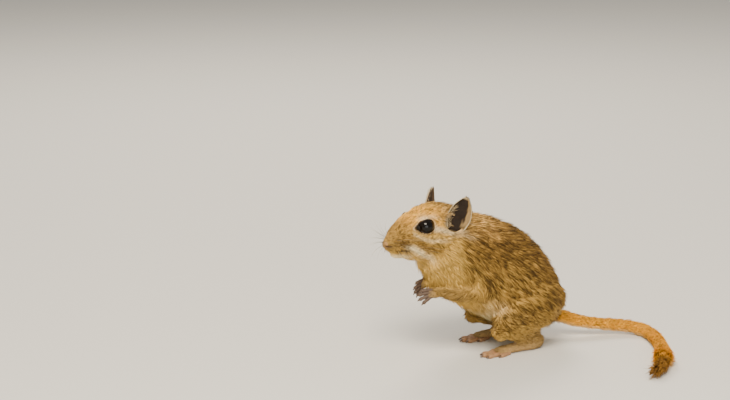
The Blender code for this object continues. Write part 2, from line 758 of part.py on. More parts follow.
def make_tuft(name):
    """The dark brush on the tail's end: a core and tapered locks that overlap along it."""
    draw = np.random.default_rng(SEED)
    gap = GAP / 2 / lengths_along(np.array(TUFT)[:, :3])[-1]
    centre, radius = curve_of(TUFT, np.linspace(gap, TUFT_CORE_SHARE, 7))
    core = tube(name, round_rows(centre, radius), sides=10, rings=7, domes=0.0)
    locks = []
    for number in range(TUFT_LOCKS):
        turn = number * math.pi * (3 - math.sqrt(5))
        start = 0.08 + 0.5 * (number + 0.5) / TUFT_LOCKS
        end = min(start + TUFT_LOCK_SHARE * (0.8 + 0.4 * draw.random()), 1.0)
        at = np.linspace(start, end, 4)
        centre, radius = curve_of(TUFT, at)
        sideways, upwards = frames_along(centre)
        out = math.cos(turn) * sideways + math.sin(turn) * upwards
        stand = radius * np.array([0.72, 0.95, 0.95, 0.6]) + np.array([0.0, 0.3, 0.6, 0.9])
        path = centre + out * stand[:, None]
        path[:, 2] = np.maximum(path[:, 2], LOCK_THICKNESS)
        width = LOCK_WIDTH * (0.85 + 0.3 * draw.random()) * np.array([0.9, 1.0, 0.7, 0.2])
        thick = LOCK_THICKNESS * np.array([0.9, 1.0, 0.7, 0.25])
        locks.append(tube("lock", np.column_stack([path, width, thick]), sides=5, rings=4, domes=0.0))
    return combine(core, locks, "UNION")


def part_trunk(core):
    """The joined head and trunk, parted by flat cuts into the head, neck, chest and belly."""
    cuts = [trunk_plane(share) for share in (HEAD_CUT_SHARE, NECK_CUT_SHARE, CHEST_CUT_SHARE)]
    nodes = []
    for number, name in enumerate(("head", "neck", "chest", "belly")):
        cutters = []
        if number > 0:
            middle, way = cuts[number - 1]
            cutters.append(half_space("before", middle + way * GAP / 2, -way))
        if number < len(cuts):
            middle, way = cuts[number]
            cutters.append(half_space("after", middle - way * GAP / 2, way))
        nodes.append(combine(copy_of(core, name), cutters, "DIFFERENCE"))
    return nodes


def hollow(node, rooms, names):
    """Cuts a socket in the node for each named limb, from the limb's own form grown by the gap."""
    for name in names:
        combine(node, [copy_of(rooms[name], "room")], "DIFFERENCE")


def floor_box():
    return half_space("floor", (0.0, 0.0, 0.0), (0.0, 0.0, -1.0))


def centre_on_floor(nodes):
    """Moves every mesh so that the middle of the whole animal's box stands over the origin, in metres."""
    points = np.array([vertex.co for node in nodes for vertex in node.data.vertices])
    low, high = points.min(0), points.max(0)
    shift = Matrix.Translation((-(low[0] + high[0]) / 2, -(low[1] + high[1]) / 2, -low[2]))
    for node in nodes:
        node.data.transform(Matrix.Scale(MM, 4) @ shift)


def make_head(head, eyes):
    """Opens the eyes, lays the lids, and cuts the sockets, nostrils and mouth."""
    combine(head, [lid_opening(side) for side in (-1, 1)], "DIFFERENCE")
    combine(head, [lid_ring(side) for side in (-1, 1)], "UNION")
    combine(head, [grown(eye) for eye in eyes], "DIFFERENCE")
    combine(head, face_cutters(), "DIFFERENCE")


def build():
    clear_scene()
    core = loft("core", trunk_rings())
    combine(core, [loft("skull", head_rings())] + head_pieces(), "UNION")
    ear_room = combine(grown(core), conchas(GAP), "DIFFERENCE")
    combine(core, conchas(0.0), "DIFFERENCE")
    head, neck, chest, belly = part_trunk(core)
    eyes, ears, limbs = [], [], {}
    for side, word in ((-1, "left"), (1, "right")):
        centre = head_to_body(eye_frame(side)[0])
        eyes.append(ellipsoid(f"eye_{word}", centre, (EYE_RADIUS,) * 3, segments=18))
        ears.append(combine(make_ear(f"ear_{word}", side), [copy_of(ear_room, "room")], "DIFFERENCE"))
        for stem, make in LIMB_MAKERS:
            limbs[f"{stem}_{word}"] = make(f"{stem}_{word}", side)
    make_head(head, eyes)

    rooms = {name: grown(limb) for name, limb in limbs.items()}
    for word in ("left", "right"):
        hollow(limbs[f"forearm_{word}"], rooms, [f"hand_{word}"])
        hollow(limbs[f"upper_arm_{word}"], rooms, [f"forearm_{word}"])
        hollow(limbs[f"haunch_{word}"], rooms, [f"foot_{word}"])
        hollow(head, rooms, [f"upper_arm_{word}"])
        hollow(neck, rooms, [f"upper_arm_{word}", f"forearm_{word}", f"hand_{word}"])
        hollow(chest, rooms, [f"upper_arm_{word}", f"forearm_{word}", f"hand_{word}", f"haunch_{word}"])
        hollow(belly, rooms, [f"haunch_{word}", f"foot_{word}"])
    for room in rooms.values():
        bpy.data.objects.remove(room, do_unlink=True)
    tail = make_tail()
    combine(tail[0], [grown(belly)], "DIFFERENCE")
    tuft = make_tuft("tail_tuft")
    for node in tail + [tuft]:
        combine(node, [floor_box()], "DIFFERENCE")
    for guide in (core, ear_room):
        bpy.data.objects.remove(guide, do_unlink=True)

    coat = material("agouti_coat", COAT_TAN, 0.85)
    pale = material("cream_coat", COAT_CREAM, 0.85)
    bare = material("bare_skin", SKIN_PINK, 0.6)
    inner = material("ear_skin", EAR_BROWN, 0.6)
    glass = material("eye_gloss", EYE_BLACK, 0.08)
    brush = material("tuft_coat", TUFT_BLACK, 0.85)
    stems = {"haunch": coat, "upper_arm": coat, "forearm": pale, "hand": bare, "foot": bare}
    finished = [(node, coat) for node in [head, neck, chest, belly] + tail]
    finished += [(limb, stems[name.rsplit("_", 1)[0]]) for name, limb in limbs.items()]
    finished += [(ear, inner) for ear in ears] + [(eye, glass) for eye in eyes] + [(tuft, brush)]
    for node, finish in finished:
        node.data.materials.clear()
        node.data.materials.append(finish)
    nodes = [node for node, _ in finished]
    centre_on_floor(nodes)
    home = bpy.data.collections.new("gerbil")
    bpy.context.scene.collection.children.link(home)
    for node in nodes:
        bpy.context.scene.collection.objects.unlink(node)
        home.objects.link(node)


build()
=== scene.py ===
"""The looks of a life-size Mongolian gerbil: skin, coat, face, ears, claws and tail brush, in a studio.

Every form is worked out in millimetres in the animal's own frame. There it faces -X, its left side is -Y, and
the floor is z = 0. The head has a frame of its own, with its origin midway between the eyes. A piece is moved
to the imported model's place and turned to metres when its mesh is made.
"""

import math

import bpy
import numpy as np
from mathutils import Matrix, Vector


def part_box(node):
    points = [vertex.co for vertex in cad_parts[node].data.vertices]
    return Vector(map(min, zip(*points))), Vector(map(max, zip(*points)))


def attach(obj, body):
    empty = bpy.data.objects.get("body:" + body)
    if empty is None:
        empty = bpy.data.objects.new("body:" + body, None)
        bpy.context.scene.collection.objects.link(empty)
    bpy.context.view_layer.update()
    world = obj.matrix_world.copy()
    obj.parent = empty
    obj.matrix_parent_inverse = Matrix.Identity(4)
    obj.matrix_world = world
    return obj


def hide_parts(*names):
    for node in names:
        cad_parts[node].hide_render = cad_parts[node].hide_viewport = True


bl_info = {
    "name": "Still gerbil",
    "version": (1, 0, 0),
    "blender": (4, 5, 0),
    "location": "View3D > Sidebar > Gerbil",
    "description": "Dresses the packed gerbil in skin, coat, eyes, ears, claws and whiskers",
    "category": "Object",
}

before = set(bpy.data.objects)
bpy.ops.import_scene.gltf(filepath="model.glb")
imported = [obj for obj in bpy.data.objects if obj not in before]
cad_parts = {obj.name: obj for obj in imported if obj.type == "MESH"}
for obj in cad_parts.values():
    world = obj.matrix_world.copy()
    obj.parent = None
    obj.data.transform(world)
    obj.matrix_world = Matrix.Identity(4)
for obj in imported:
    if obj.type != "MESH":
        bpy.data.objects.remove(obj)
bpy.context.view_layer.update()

MM = 0.001
UPRIGHT = np.array([0.0, 0.0, 1.0])

# The trunk with its coat on. Each row is the back's x and z, the belly's x and z, and half the width.
TRUNK_SECTIONS = (
    (-30.0, 63.0, -36.0, 51.0, 7.0),
    (-22.0, 64.0, -38.0, 46.2, 11.0),
    (-13.0, 62.6, -35.4, 38.4, 14.5),
    (-4.5, 60.0, -29.5, 30.0, 17.0),
    (5.0, 56.0, -19.5, 23.0, 19.0),
    (14.5, 50.0, -8.5, 16.5, 20.0),
    (23.0, 40.5, 1.5, 11.5, 20.0),
    (29.5, 29.0, 11.0, 8.5, 17.5),
    (32.5, 18.5, 20.5, 6.5, 11.5),
    (32.5, 12.0, 27.0, 6.4, 5.0),
)
TRUNK_ROUNDNESS = 2.15

# The head turns a little to its left. Each row is x, top z, bottom z, half the width, and the widest z.
HEAD_AT = np.array((-41.6, 0.0, 60.5))
HEAD_TURN = math.radians(5.0)
HEAD_SECTIONS = (
    (-14.9, -5.6, -8.4, 1.4, -7.0),
    (-14.2, -4.4, -9.3, 2.7, -7.0),
    (-13.0, -2.9, -10.2, 3.9, -6.9),
    (-11.4, -1.3, -11.1, 5.2, -6.6),
    (-9.4, 0.6, -12.0, 6.6, -6.0),
    (-6.9, 2.2, -13.2, 8.0, -5.6),
    (-4.0, 3.9, -14.2, 9.4, -5.0),
    (0.0, 5.8, -15.0, 10.7, -4.6),
    (4.0, 7.4, -15.4, 11.9, -4.4),
    (8.5, 8.0, -15.2, 12.8, -4.0),
    (13.0, 7.9, -14.4, 13.0, -3.4),
    (18.0, 6.4, -12.6, 12.2, -2.8),
    (22.5, 3.6, -9.5, 9.6, -2.4),
    (25.5, 0.2, -5.6, 5.0, -2.4),
)
HEAD_ROUNDNESS = 2.1

# The eye is a ball in a low mound, and an almond opening shows it.
EYE_CENTRE = (1.8, 6.3, 0.3)
EYE_RADIUS = 3.7
EYE_AIM = math.radians(12.0)
EYE_RISE = 0.14
MOUND_CENTRE = (1.6, 5.4, -0.1)
MOUND_RADII = (6.8, 4.2, 4.6)
OPENING_REAR = 3.55
OPENING_FRONT = 4.75
OPENING_HEIGHT = 2.75
OPENING_RISE = 0.18

# The muzzle, in the head's frame, for the side of +y.
PAD_CENTRE = (-9.3, 2.7, -7.5)
PAD_RADII = (4.6, 2.9, 3.0)
PAD_TURN = math.radians(24.0)
CHIN_CENTRE = (-8.4, 0.0, -11.6)
CHIN_RADII = (3.6, 3.0, 1.9)
NOSE_CENTRE = np.array((-14.4, 0.0, -6.9))
NOSE_RADII = np.array((1.2, 1.9, 1.5))
NOSTRIL_PATH = ((-15.7, 0.8, -7.5), (-14.8, 1.2, -7.5), (-13.8, 2.7, -7.1))
CLEFT_PATH = ((-16.0, 0.0, -7.7), (-15.1, 0.0, -8.7), (-14.3, 0.0, -9.9))
MOUTH_PATH = (
    (-14.6, 0.2, -9.6),
    (-12.9, 1.8, -10.4),
    (-11.2, 3.0, -10.9),
    (-9.8, 4.2, -10.7),
    (-8.8, 5.8, -9.9),
)

# The ear: a pointed leaf, curled to a cup, and the hollow of the head that its lower half stands in.
EAR_ROOT = (15.0, 9.3, -2.6)
EAR_TIP = (19.2, 12.3, 11.6)
EAR_OPENS = math.radians(52.0)
EAR_HALF_WIDTH = 5.0
EAR_CUP = 3.2
EAR_CURL = 1.35
CONCHA_CENTRE = np.array((14.6, 11.0, 1.4))
CONCHA_RADII = np.array((5.7, 3.7, 4.7))

# Lines on the side of the head, by x and z: the notch below the ear, the dark band and the pale streaks.
NOTCH = ((10.4, 0.1), (13.4, -1.4), (18.0, -2.9))
CHEEK_BAND = ((-5.6, -5.4), (-1.0, -7.7), (3.9, -9.3), (9.4, -10.1), (14.5, -9.6))
LIP_STREAK = ((-8.2, -7.6), (-5.9, -8.6), (-3.0, -10.2), (1.0, -12.2), (5.0, -13.4))
LOWER_STREAK = ((-5.3, -2.2), (-2.7, -3.6), (0.9, -5.0), (5.5, -5.0), (8.7, -4.6))
UPPER_STREAK = ((4.6, -1.0), (8.8, -1.6), (13.2, -2.9), (19.4, -4.9))

# Limbs of the left side, as points with a radius across and one upwards.
UPPER_ARM = (
    (-17.0, -8.5, 47.0, 5.5, 5.5),
    (-18.0, -9.8, 42.0, 6.6, 7.4),
    (-16.5, -12.2, 36.0, 5.4, 6.4),
    (-15.5, -13.6, 32.0, 4.4, 4.8),
)
FOREARM = (
    (-14.8, -13.6, 32.4, 4.6, 4.6),
    (-20.5, -12.4, 31.6, 4.5, 4.7),
    (-26.5, -9.4, 31.0, 3.4, 3.8),
    (-31.0, -6.4, 30.9, 2.2, 2.6),
)
PALM = (-33.6, -4.7, 30.2)
PALM_RADII = (3.4, 1.6, 2.5)
FINGER_LENGTHS = (3.6, 4.5, 4.4, 3.4)
FINGER_RADIUS = 0.72
FINGER_DROOP = 0.10
FINGER_WAYS_LEFT = ((-1.0, 0.34, 0.02), (-1.0, 0.34, -0.10), (-1.0, 0.30, -0.30), (-1.0, 0.22, -0.62))
FINGER_WAYS_RIGHT = ((-1.0, -0.30, -0.05), (-1.0, -0.28, -0.25), (-1.0, -0.22, -0.50), (-0.9, -0.12, -0.85))
CLAW_LENGTH = 1.4
RIGHT_HAND_SHIFT = (1.0, -0.2, 2.3)
HAUNCH = (
    (22.5, -9.6, 21.6, 7.6, 8.6),
    (15.5, -12.6, 22.0, 9.0, 13.0),
    (5.5, -14.6, 18.6, 8.2, 11.8),
    (-2.5, -15.2, 14.2, 6.0, 8.4),
    (-6.5, -15.0, 11.4, 3.8, 5.2),
)
SHANK = (
    (-4.0, -14.4, 11.6, 4.6, 4.6),
    (4.0, -13.8, 9.4, 4.6, 4.4),
    (10.5, -13.2, 7.4, 3.8, 3.4),
    (15.0, -12.8, 5.4, 2.8, 2.6),
)
FOOT = (
    (15.6, -12.6, 3.1, 2.4, 2.9),
    (12.6, -12.6, 2.6, 2.6, 2.8),
    (6.0, -12.6, 2.3, 2.4, 2.4),
    (0.0, -12.6, 2.0, 2.6, 2.1),
    (-4.0, -12.6, 1.7, 3.1, 1.8),
)
TOE_ROOTS = ((-2.2, 2.5), (-4.6, 1.5), (-5.3, 0.0), (-4.6, -1.5), (-2.2, -2.6))
TOE_LENGTHS = (4.0, 6.6, 7.3, 6.8, 4.2)
TOE_TURNS = (17.0, 8.0, 0.0, -9.0, -20.0)
TOE_RADIUS = 0.98
TOE_LEVEL = 0.72
TOE_CLAW = 2.2
RIGHT_FOOT_SHIFT = (4.9, -0.8, 0.0)

# The tail with its hair on, as points with one radius, and the brush that goes on along the same bend.
TAIL = np.array(
    (
        (25.5, 1.0, 14.0, 4.6),
        (30.5, 0.3, 11.6, 3.9),
        (36.0, -2.4, 9.2, 3.1),
        (44.6, -6.8, 6.6, 2.7),
        (52.0, -9.7, 5.3, 2.65),
        (58.8, -12.2, 4.4, 2.65),
        (64.4, -15.8, 3.7, 2.7),
        (67.4, -21.0, 3.1, 2.75),
        (66.8, -28.2, 2.75, 2.8),
        (62.8, -38.3, 2.7, 2.85),
        (55.6, -50.6, 2.75, 2.95),
        (49.8, -58.6, 2.85, 3.05),
    )
)
BRUSH = np.array(
    (
        (49.8, -58.6, 2.85, 2.95),
        (45.8, -63.6, 3.0, 2.7),
        (41.2, -68.2, 3.0, 1.9),
        (36.0, -71.8, 2.8, 0.9),
        (30.0, -74.4, 2.4, 0.4),
    )
)

# What the coat is on each part of the body, in millimetres, degrees and tufts to the square millimetre.
# Each row is the coat's depth, a tuft's length, half its width, its lift, and how close the tufts stand.
COAT = {
    "head": (0.55, 2.8, 0.15, 20.0, 13.0),
    "trunk": (1.7, 5.8, 0.18, 27.0, 9.0),
    "upper_arm": (1.3, 4.9, 0.18, 25.0, 8.5),
    "forearm": (0.9, 4.3, 0.18, 23.0, 9.0),
    "hand": (0.08, 1.2, 0.09, 14.0, 12.0),
    "haunch": (1.4, 5.0, 0.18, 25.0, 8.2),
    "shank": (0.6, 3.0, 0.17, 19.0, 9.0),
    "foot": (0.1, 1.5, 0.10, 12.0, 15.0),
    "tail": (0.5, 2.8, 0.15, 23.0, 11.0),
}

# The size of the skin's faces, its rounds of smoothing and those of its creases, its most triangles, and how
# many points are measured against the body's parts at once.
VOXEL = 0.47
SKIN_SMOOTHING = 10
CREASE_SMOOTHING = 160
SKIN_TRIANGLES = 199000
POINTS_AT_ONCE = 20000

# The most tufts in one piece of the coat, and the side of a tuft's patch on the bake map.
PIECE_TUFTS = 19500
PATCH = 0.003

# The ears' down: how many tufts of each kind, and their length, half width, lift and colour.
EAR_DOWN = {
    "back": (2300, 1.1, 0.08, 14.0, "#5c4730"),
    "rim": (1700, 0.9, 0.06, 10.0, "#e2cda2"),
    "inside": (1400, 0.9, 0.06, 20.0, "#b79f72"),
    # The down in the hollow is dark by its own colour and by painted shade.
    "hollow": (700, 0.9, 0.06, 20.0, "#4d3a26"),
    "fringe": (110, 3.0, 0.045, 30.0, "#cdb68e"),
}

# Short hairs on each side of the lips and chin, and hairs in the tail's brush.
BRISTLES = 22
BRUSH_HAIRS = 3600

# The photograph's frame in pixels, the near eye's pixel in it, how many pixels a millimetre takes there, and
# the same eye in the body's millimetres. The camera's sensor is as wide as the frame, in millimetres.
FRAME_PIXELS = (730.0, 400.0)
NEAR_EYE_PIXEL = (427.0, 228.0)
NEAR_EYE_SCALE = 2.35
NEAR_EYE = np.array((-40.75, -9.76, 61.0))
SENSOR = 36.0

FLESH_NODES = ["head", "neck", "chest", "belly"] + [f"tail_{number}" for number in range(1, 6)]
FLESH_NODES += [
    f"{stem}_{word}"
    for stem in ("hand", "forearm", "upper_arm", "haunch", "foot")
    for word in ("left", "right")
]
SIDES = ((-1, "left"), (1, "right"))


def linear(code):
    """An sRGB hex colour as linear red, green and blue."""
    values = np.array([int(code[at : at + 2], 16) for at in (1, 3, 5)]) / 255.0
    return tuple(np.where(values <= 0.04045, values / 12.92, ((values + 0.055) / 1.055) ** 2.4).tolist())


def unit(vector):
    vector = np.asarray(vector, float)
    return vector / np.maximum(np.linalg.norm(vector, axis=-1, keepdims=True), 1e-9)


def smooth_step(low, high, value):
    """0 below low, 1 above high, and the cubic 3t^2 - 2t^3 between."""
    t = np.clip((np.asarray(value, float) - low) / (high - low), 0.0, 1.0)
    return t * t * (3.0 - 2.0 * t)


def mixed(first, second, share):
    """The straight mix of two colours or two arrays of them."""
    share = np.asarray(share, float)[..., None]
    return np.asarray(first, float) * (1.0 - share) + np.asarray(second, float) * share


def bell(distance, width):
    """e to the power of minus the square of distance / width."""
    return np.exp(-((distance / width) ** 2))


def dots(first, second):
    """The dot product of each pair of rows."""
    return np.einsum("ij,ij->i", first, second)


def full_turn(count):
    """The angles of a whole turn at equal steps."""
    return np.linspace(0.0, 2 * math.pi, count, endpoint=False)


def ripple(points, wavelength, seed):
    """Smooth noise of about -1 to 1: the sum of nine sine waves that cross in seeded directions."""
    draw = np.random.default_rng(seed)
    ways = unit(draw.normal(size=(9, 3))) * draw.uniform(0.6, 1.5, (9, 1)) * 2 * math.pi / wavelength
    return np.sin(points @ ways.T + draw.uniform(0.0, 2 * math.pi, 9)).sum(1) / 3.5


def clumps(points, size, seed):
    """A number between -1 and 1 that all points of one small, bent cell of space share.

    The cell's three whole numbers go into a sine with a large factor, of which the fraction is kept.
    """
    bent = points + 0.45 * size * np.stack([ripple(points, 3.1 * size, seed + at) for at in range(3)], -1)
    cell = np.floor(bent / size)
    value = np.sin(cell @ np.array([12.9898, 78.233, 37.719]) + seed * 1.37) * 43758.5453
    return 2.0 * (value - np.floor(value)) - 1.0


def streaks(points, way, size, seed):
    """The same for cells that are drawn out to six times their width along the given way."""
    way = unit(way)
    return clumps(points - 0.83 * dots(points, way)[:, None] * way, size, seed)


def lengths_along(points):
    steps = np.linalg.norm(np.diff(np.asarray(points, float), axis=0), axis=1)
    return np.concatenate([[0.0], np.cumsum(steps)])


def through(knots, rows, at):
    """Rows read between the knots along a cubic Hermite curve, each slope taken from the neighbours."""
    knots, rows, at = np.asarray(knots, float), np.asarray(rows, float), np.asarray(at, float)
    slopes = np.gradient(rows, knots, axis=0)
    cell = np.clip(np.searchsorted(knots, at, side="right") - 1, 0, len(knots) - 2)
    width = (knots[cell + 1] - knots[cell])[:, None]
    u = (at - knots[cell])[:, None] / width
    return (
        (2 * u**3 - 3 * u**2 + 1) * rows[cell]
        + (u**3 - 2 * u**2 + u) * width * slopes[cell]
        + (3 * u**2 - 2 * u**3) * rows[cell + 1]
        + (u**3 - u**2) * width * slopes[cell + 1]
    )


def along_path(rows, at):
    """Rows of a path read at shares of its length."""
    rows = np.asarray(rows, float)
    knots = lengths_along(rows[:, :3])
    return through(knots / knots[-1], rows, at)


def on_side(points, side):
    """Left-hand rows as they are on that side: -1 is the left and 1 the right."""
    made = np.array(points, float)
    made[..., 1] *= -side
    return made


def head_to_body(points):
    """Points of the head's frame in the body's, turned to the left about the upright axis."""
    points = np.asarray(points, float)
    c, s = math.cos(HEAD_TURN), math.sin(HEAD_TURN)
    x, y, z = points[..., 0], points[..., 1], points[..., 2]
    return np.stack([x * c - y * s, x * s + y * c, z], -1) + HEAD_AT


def body_to_head(points):
    points = np.asarray(points, float) - HEAD_AT
    c, s = math.cos(HEAD_TURN), math.sin(HEAD_TURN)
    x, y, z = points[..., 0], points[..., 1], points[..., 2]
    return np.stack([x * c + y * s, -x * s + y * c, z], -1)


def head_ways(ways):
    """Directions of the head's frame in the body's."""
    return head_to_body(ways) - HEAD_AT


def eye_frame(side):
    """The eye's middle and its directions outwards, forwards and upwards, in the head's frame."""
    x, y, z = EYE_CENTRE
    aim = unit([-math.sin(EYE_AIM), side * math.cos(EYE_AIM), EYE_RISE])
    forward = unit(np.array([-1.0, 0.0, 0.0]) + aim * aim[0])
    upward = np.cross(forward, aim) * -side
    return np.array([x, side * y, z]), aim, forward, upward


EYE_MIDDLE = head_to_body(eye_frame(-1)[0])
SHIFT = (np.array(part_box("eye_left")[0]) + np.array(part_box("eye_left")[1])) / 2 / MM - EYE_MIDDLE


def trunk_sections(shares):
    rows = np.array(TRUNK_SECTIONS)
    knots = lengths_along((rows[:, 0:2] + rows[:, 2:4]) / 2)
    return through(knots / knots[-1], rows, shares)


def squared_circle(turn, roundness):
    """Sine and cosine of a turn, drawn out to a superellipse: each is raised to 2 / roundness."""
    sine, cosine, power = np.sin(turn), np.cos(turn), 2.0 / roundness
    return np.sign(sine) * np.abs(sine) ** power, np.sign(cosine) * np.abs(cosine) ** power


def trunk_rings(count, sides):
    """Superellipses across the spine: half the back-to-belly line upwards and the half width across."""
    read = trunk_sections(0.5 - 0.5 * np.cos(np.linspace(0.0, math.pi, count)))
    level = np.zeros(count)
    back = np.stack([read[:, 0], level, read[:, 1]], -1)
    belly = np.stack([read[:, 2], level, read[:, 3]], -1)
    middle, half = (back + belly) / 2, (back - belly) / 2
    across, upwards = squared_circle(full_turn(sides), TRUNK_ROUNDNESS)
    width = np.array([0.0, 1.0, 0.0]) * read[:, 4][:, None]
    return middle[:, None] + across[None, :, None] * width[:, None] + upwards[None, :, None] * half[:, None]


def head_rings(count, sides):
    """Superellipses across the head's x axis, higher above their widest level than below it."""
    rows = np.array(HEAD_SECTIONS)
    at = rows[0, 0] + (rows[-1, 0] - rows[0, 0]) * np.linspace(0.0, 1.0, count) ** 1.25
    x, top, bottom, width, level = through(rows[:, 0], rows, at).T
    across, upwards = squared_circle(full_turn(sides), HEAD_ROUNDNESS)
    height = np.where(upwards[None] > 0, (top - level)[:, None], (level - bottom)[:, None])
    y = width[:, None] * across[None]
    z = level[:, None] + height * upwards[None]
    return head_to_body(np.stack([np.broadcast_to(x[:, None], y.shape), y, z], -1))


def frames_along(path):
    """The direction ahead and two across a path at each point, the first of them level where it can be."""
    ahead = unit(np.gradient(np.asarray(path, float), axis=0))
    upright = UPRIGHT if np.abs(ahead[:, 2]).max() < 0.93 else np.array([1.0, 0.0, 0.0])
    sideways = unit(np.cross(ahead, upright))
    return ahead, sideways, np.cross(sideways, ahead)


def ring_faces(count, sides):
    """The triangles between rings of points, and the fans that close the first ring and the last."""
    near = np.arange(count * sides).reshape(count, sides)
    after = np.roll(near, -1, axis=1)
    faces = [
        np.stack([near[:-1], after[:-1], after[1:]], -1).reshape(-1, 3),
        np.stack([near[:-1], after[1:], near[1:]], -1).reshape(-1, 3),
        np.stack([np.full(sides, count * sides), after[0], near[0]], -1),
        np.stack([np.full(sides, count * sides + 1), near[-1], after[-1]], -1),
    ]
    return np.concatenate(faces)


def closed_surface(rings):
    """Points and triangles through rings, closed by a fan round the middle of each end, facing outwards."""
    rings = np.asarray(rings, float)
    points = np.concatenate([rings.reshape(-1, 3), rings[:1].mean(1), rings[-1:].mean(1)])
    return facing_out(points, ring_faces(*rings.shape[:2]))


def facing_out(points, faces):
    """Turns every face over where the volume that they enclose comes out negative."""
    a, b, c = points[faces[:, 0]], points[faces[:, 1]], points[faces[:, 2]]
    return points, faces if np.einsum("ij,ij->", a, np.cross(b, c)) > 0 else faces[:, ::-1]


def tube(rows, sides, rings, domes=1.0):
    """An ellipse carried along a path, with a half sphere's profile, cos t by sin t, at each end."""
    read = along_path(rows, np.linspace(0.0, 1.0, rings))
    ahead = unit(np.gradient(read[:, :3], axis=0))
    turn = np.linspace(0.12, math.pi / 2, 7)[:-1, None]
    ends = []
    for row, way in ((read[0], -ahead[0]), (read[-1], ahead[-1])):
        reach = np.cos(turn) * row[3:].mean() * domes
        ends.append(np.concatenate([row[:3] + way * reach, row[3:] * np.sin(turn)], axis=1))
    read = np.concatenate([ends[0], read, ends[1][::-1]])
    _, sideways, upwards = frames_along(read[:, :3])
    turn = full_turn(sides)[None, :, None]
    ring = (
        np.cos(turn) * read[:, None, 3:4] * sideways[:, None]
        + np.sin(turn) * read[:, None, 4:5] * upwards[:, None]
    )
    return closed_surface(read[:, None, :3] + ring)


def round_rows(points, radii):
    points = np.asarray(points, float)
    radii = np.broadcast_to(np.asarray(radii, float), len(points))
    return np.concatenate([points, radii[:, None], radii[:, None]], axis=1)


def turned(degrees, axis):
    """The matrix of a turn about one of the three axes."""
    c, s = math.cos(math.radians(degrees)), math.sin(math.radians(degrees))
    made = np.eye(3)
    one, two = [(1, 2), (2, 0), (0, 1)][axis]
    made[one, one], made[one, two], made[two, one], made[two, two] = c, -s, s, c
    return made


def unit_ball(rows, columns, gap):
    """Circles of latitude of a ball of radius 1: cos t along the pole, sin t times cos u and sin u across."""
    low = np.linspace(gap, math.pi - gap, rows)[:, None]
    around = full_turn(columns)[None]
    return np.cos(low) + 0 * around, np.sin(low) * np.cos(around), np.sin(low) * np.sin(around)


def ellipsoid(centre, radii, turn=np.eye(3)):
    """A ball with its poles along z, stretched by the radii and turned."""
    pole, one, two = unit_ball(20, 40, 0.04)
    ball = np.stack([one, two, pole], -1)
    return closed_surface(np.asarray(centre) + (ball * np.asarray(radii)) @ turn.T)


def halved(quads):
    """Each quad as two triangles."""
    return np.concatenate([quads[:, [0, 1, 2]], quads[:, [0, 2, 3]]])


def joined(surfaces):
    """Several surfaces as one set of points and faces."""
    starts = np.cumsum([0] + [len(points) for points, _ in surfaces[:-1]])
    points = np.concatenate([points for points, _ in surfaces])
    return points, np.concatenate([faces + start for (_, faces), start in zip(surfaces, starts)])


def hand_shift(side):
    return np.array(RIGHT_HAND_SHIFT if side > 0 else (0.0, 0.0, 0.0))


def foot_shift(side):
    return np.array(RIGHT_FOOT_SHIFT if side > 0 else (0.0, 0.0, 0.0))


def limb_rows(stem, side):
    """The rows of a limb on one side, with the shift of the hand or foot that ends it."""
    if stem == "upper_arm":
        return on_side(UPPER_ARM, side)
    rows = on_side({"forearm": FOREARM, "haunch": HAUNCH, "shank": SHANK, "foot": FOOT}[stem], side)
    if stem == "forearm":
        rows[:, :3] += hand_shift(side) * np.array([0.2, 0.5, 0.8, 1.0])[:, None]
    elif stem == "haunch":
        rows[:, :3] += foot_shift(side) * np.array([0.0, 0.1, 0.4, 0.8, 1.0])[:, None]
    else:
        rows[:, :3] += foot_shift(side)
    return rows


def digit_path(root, way, length, droop):
    """Points along a finger or toe, whose drop grows with the square of the distance."""
    steps = np.array([-0.3, 0.3, 0.7, 1.0])
    return root + unit(way) * (length * steps)[:, None] - UPRIGHT * (droop * length * steps**2)[:, None]


def digits(side):
    """Each finger and toe of one side: its path, its radius, and its claw's length."""
    made = []
    palm = on_side(PALM, side) + hand_shift(side)
    ways = FINGER_WAYS_LEFT if side < 0 else FINGER_WAYS_RIGHT
    for number, (way, length) in enumerate(zip(ways, FINGER_LENGTHS)):
        root = palm + np.array([-2.2 + 0.25 * abs(number - 1.5), -side * 0.5, 1.5 - 1.15 * number])
        made.append((digit_path(root, way, length, FINGER_DROOP), FINGER_RADIUS, CLAW_LENGTH))
    for (x, outward), length, turn in zip(TOE_ROOTS, TOE_LENGTHS, TOE_TURNS):
        root = on_side((x, FOOT[-1][1] + outward, TOE_LEVEL), side) + foot_shift(side)
        turn = math.radians(turn)
        way = (-math.cos(turn), -side * math.sin(turn), 0.0)
        made.append((digit_path(root, way, length, 0.0), TOE_RADIUS, TOE_CLAW))
    return made


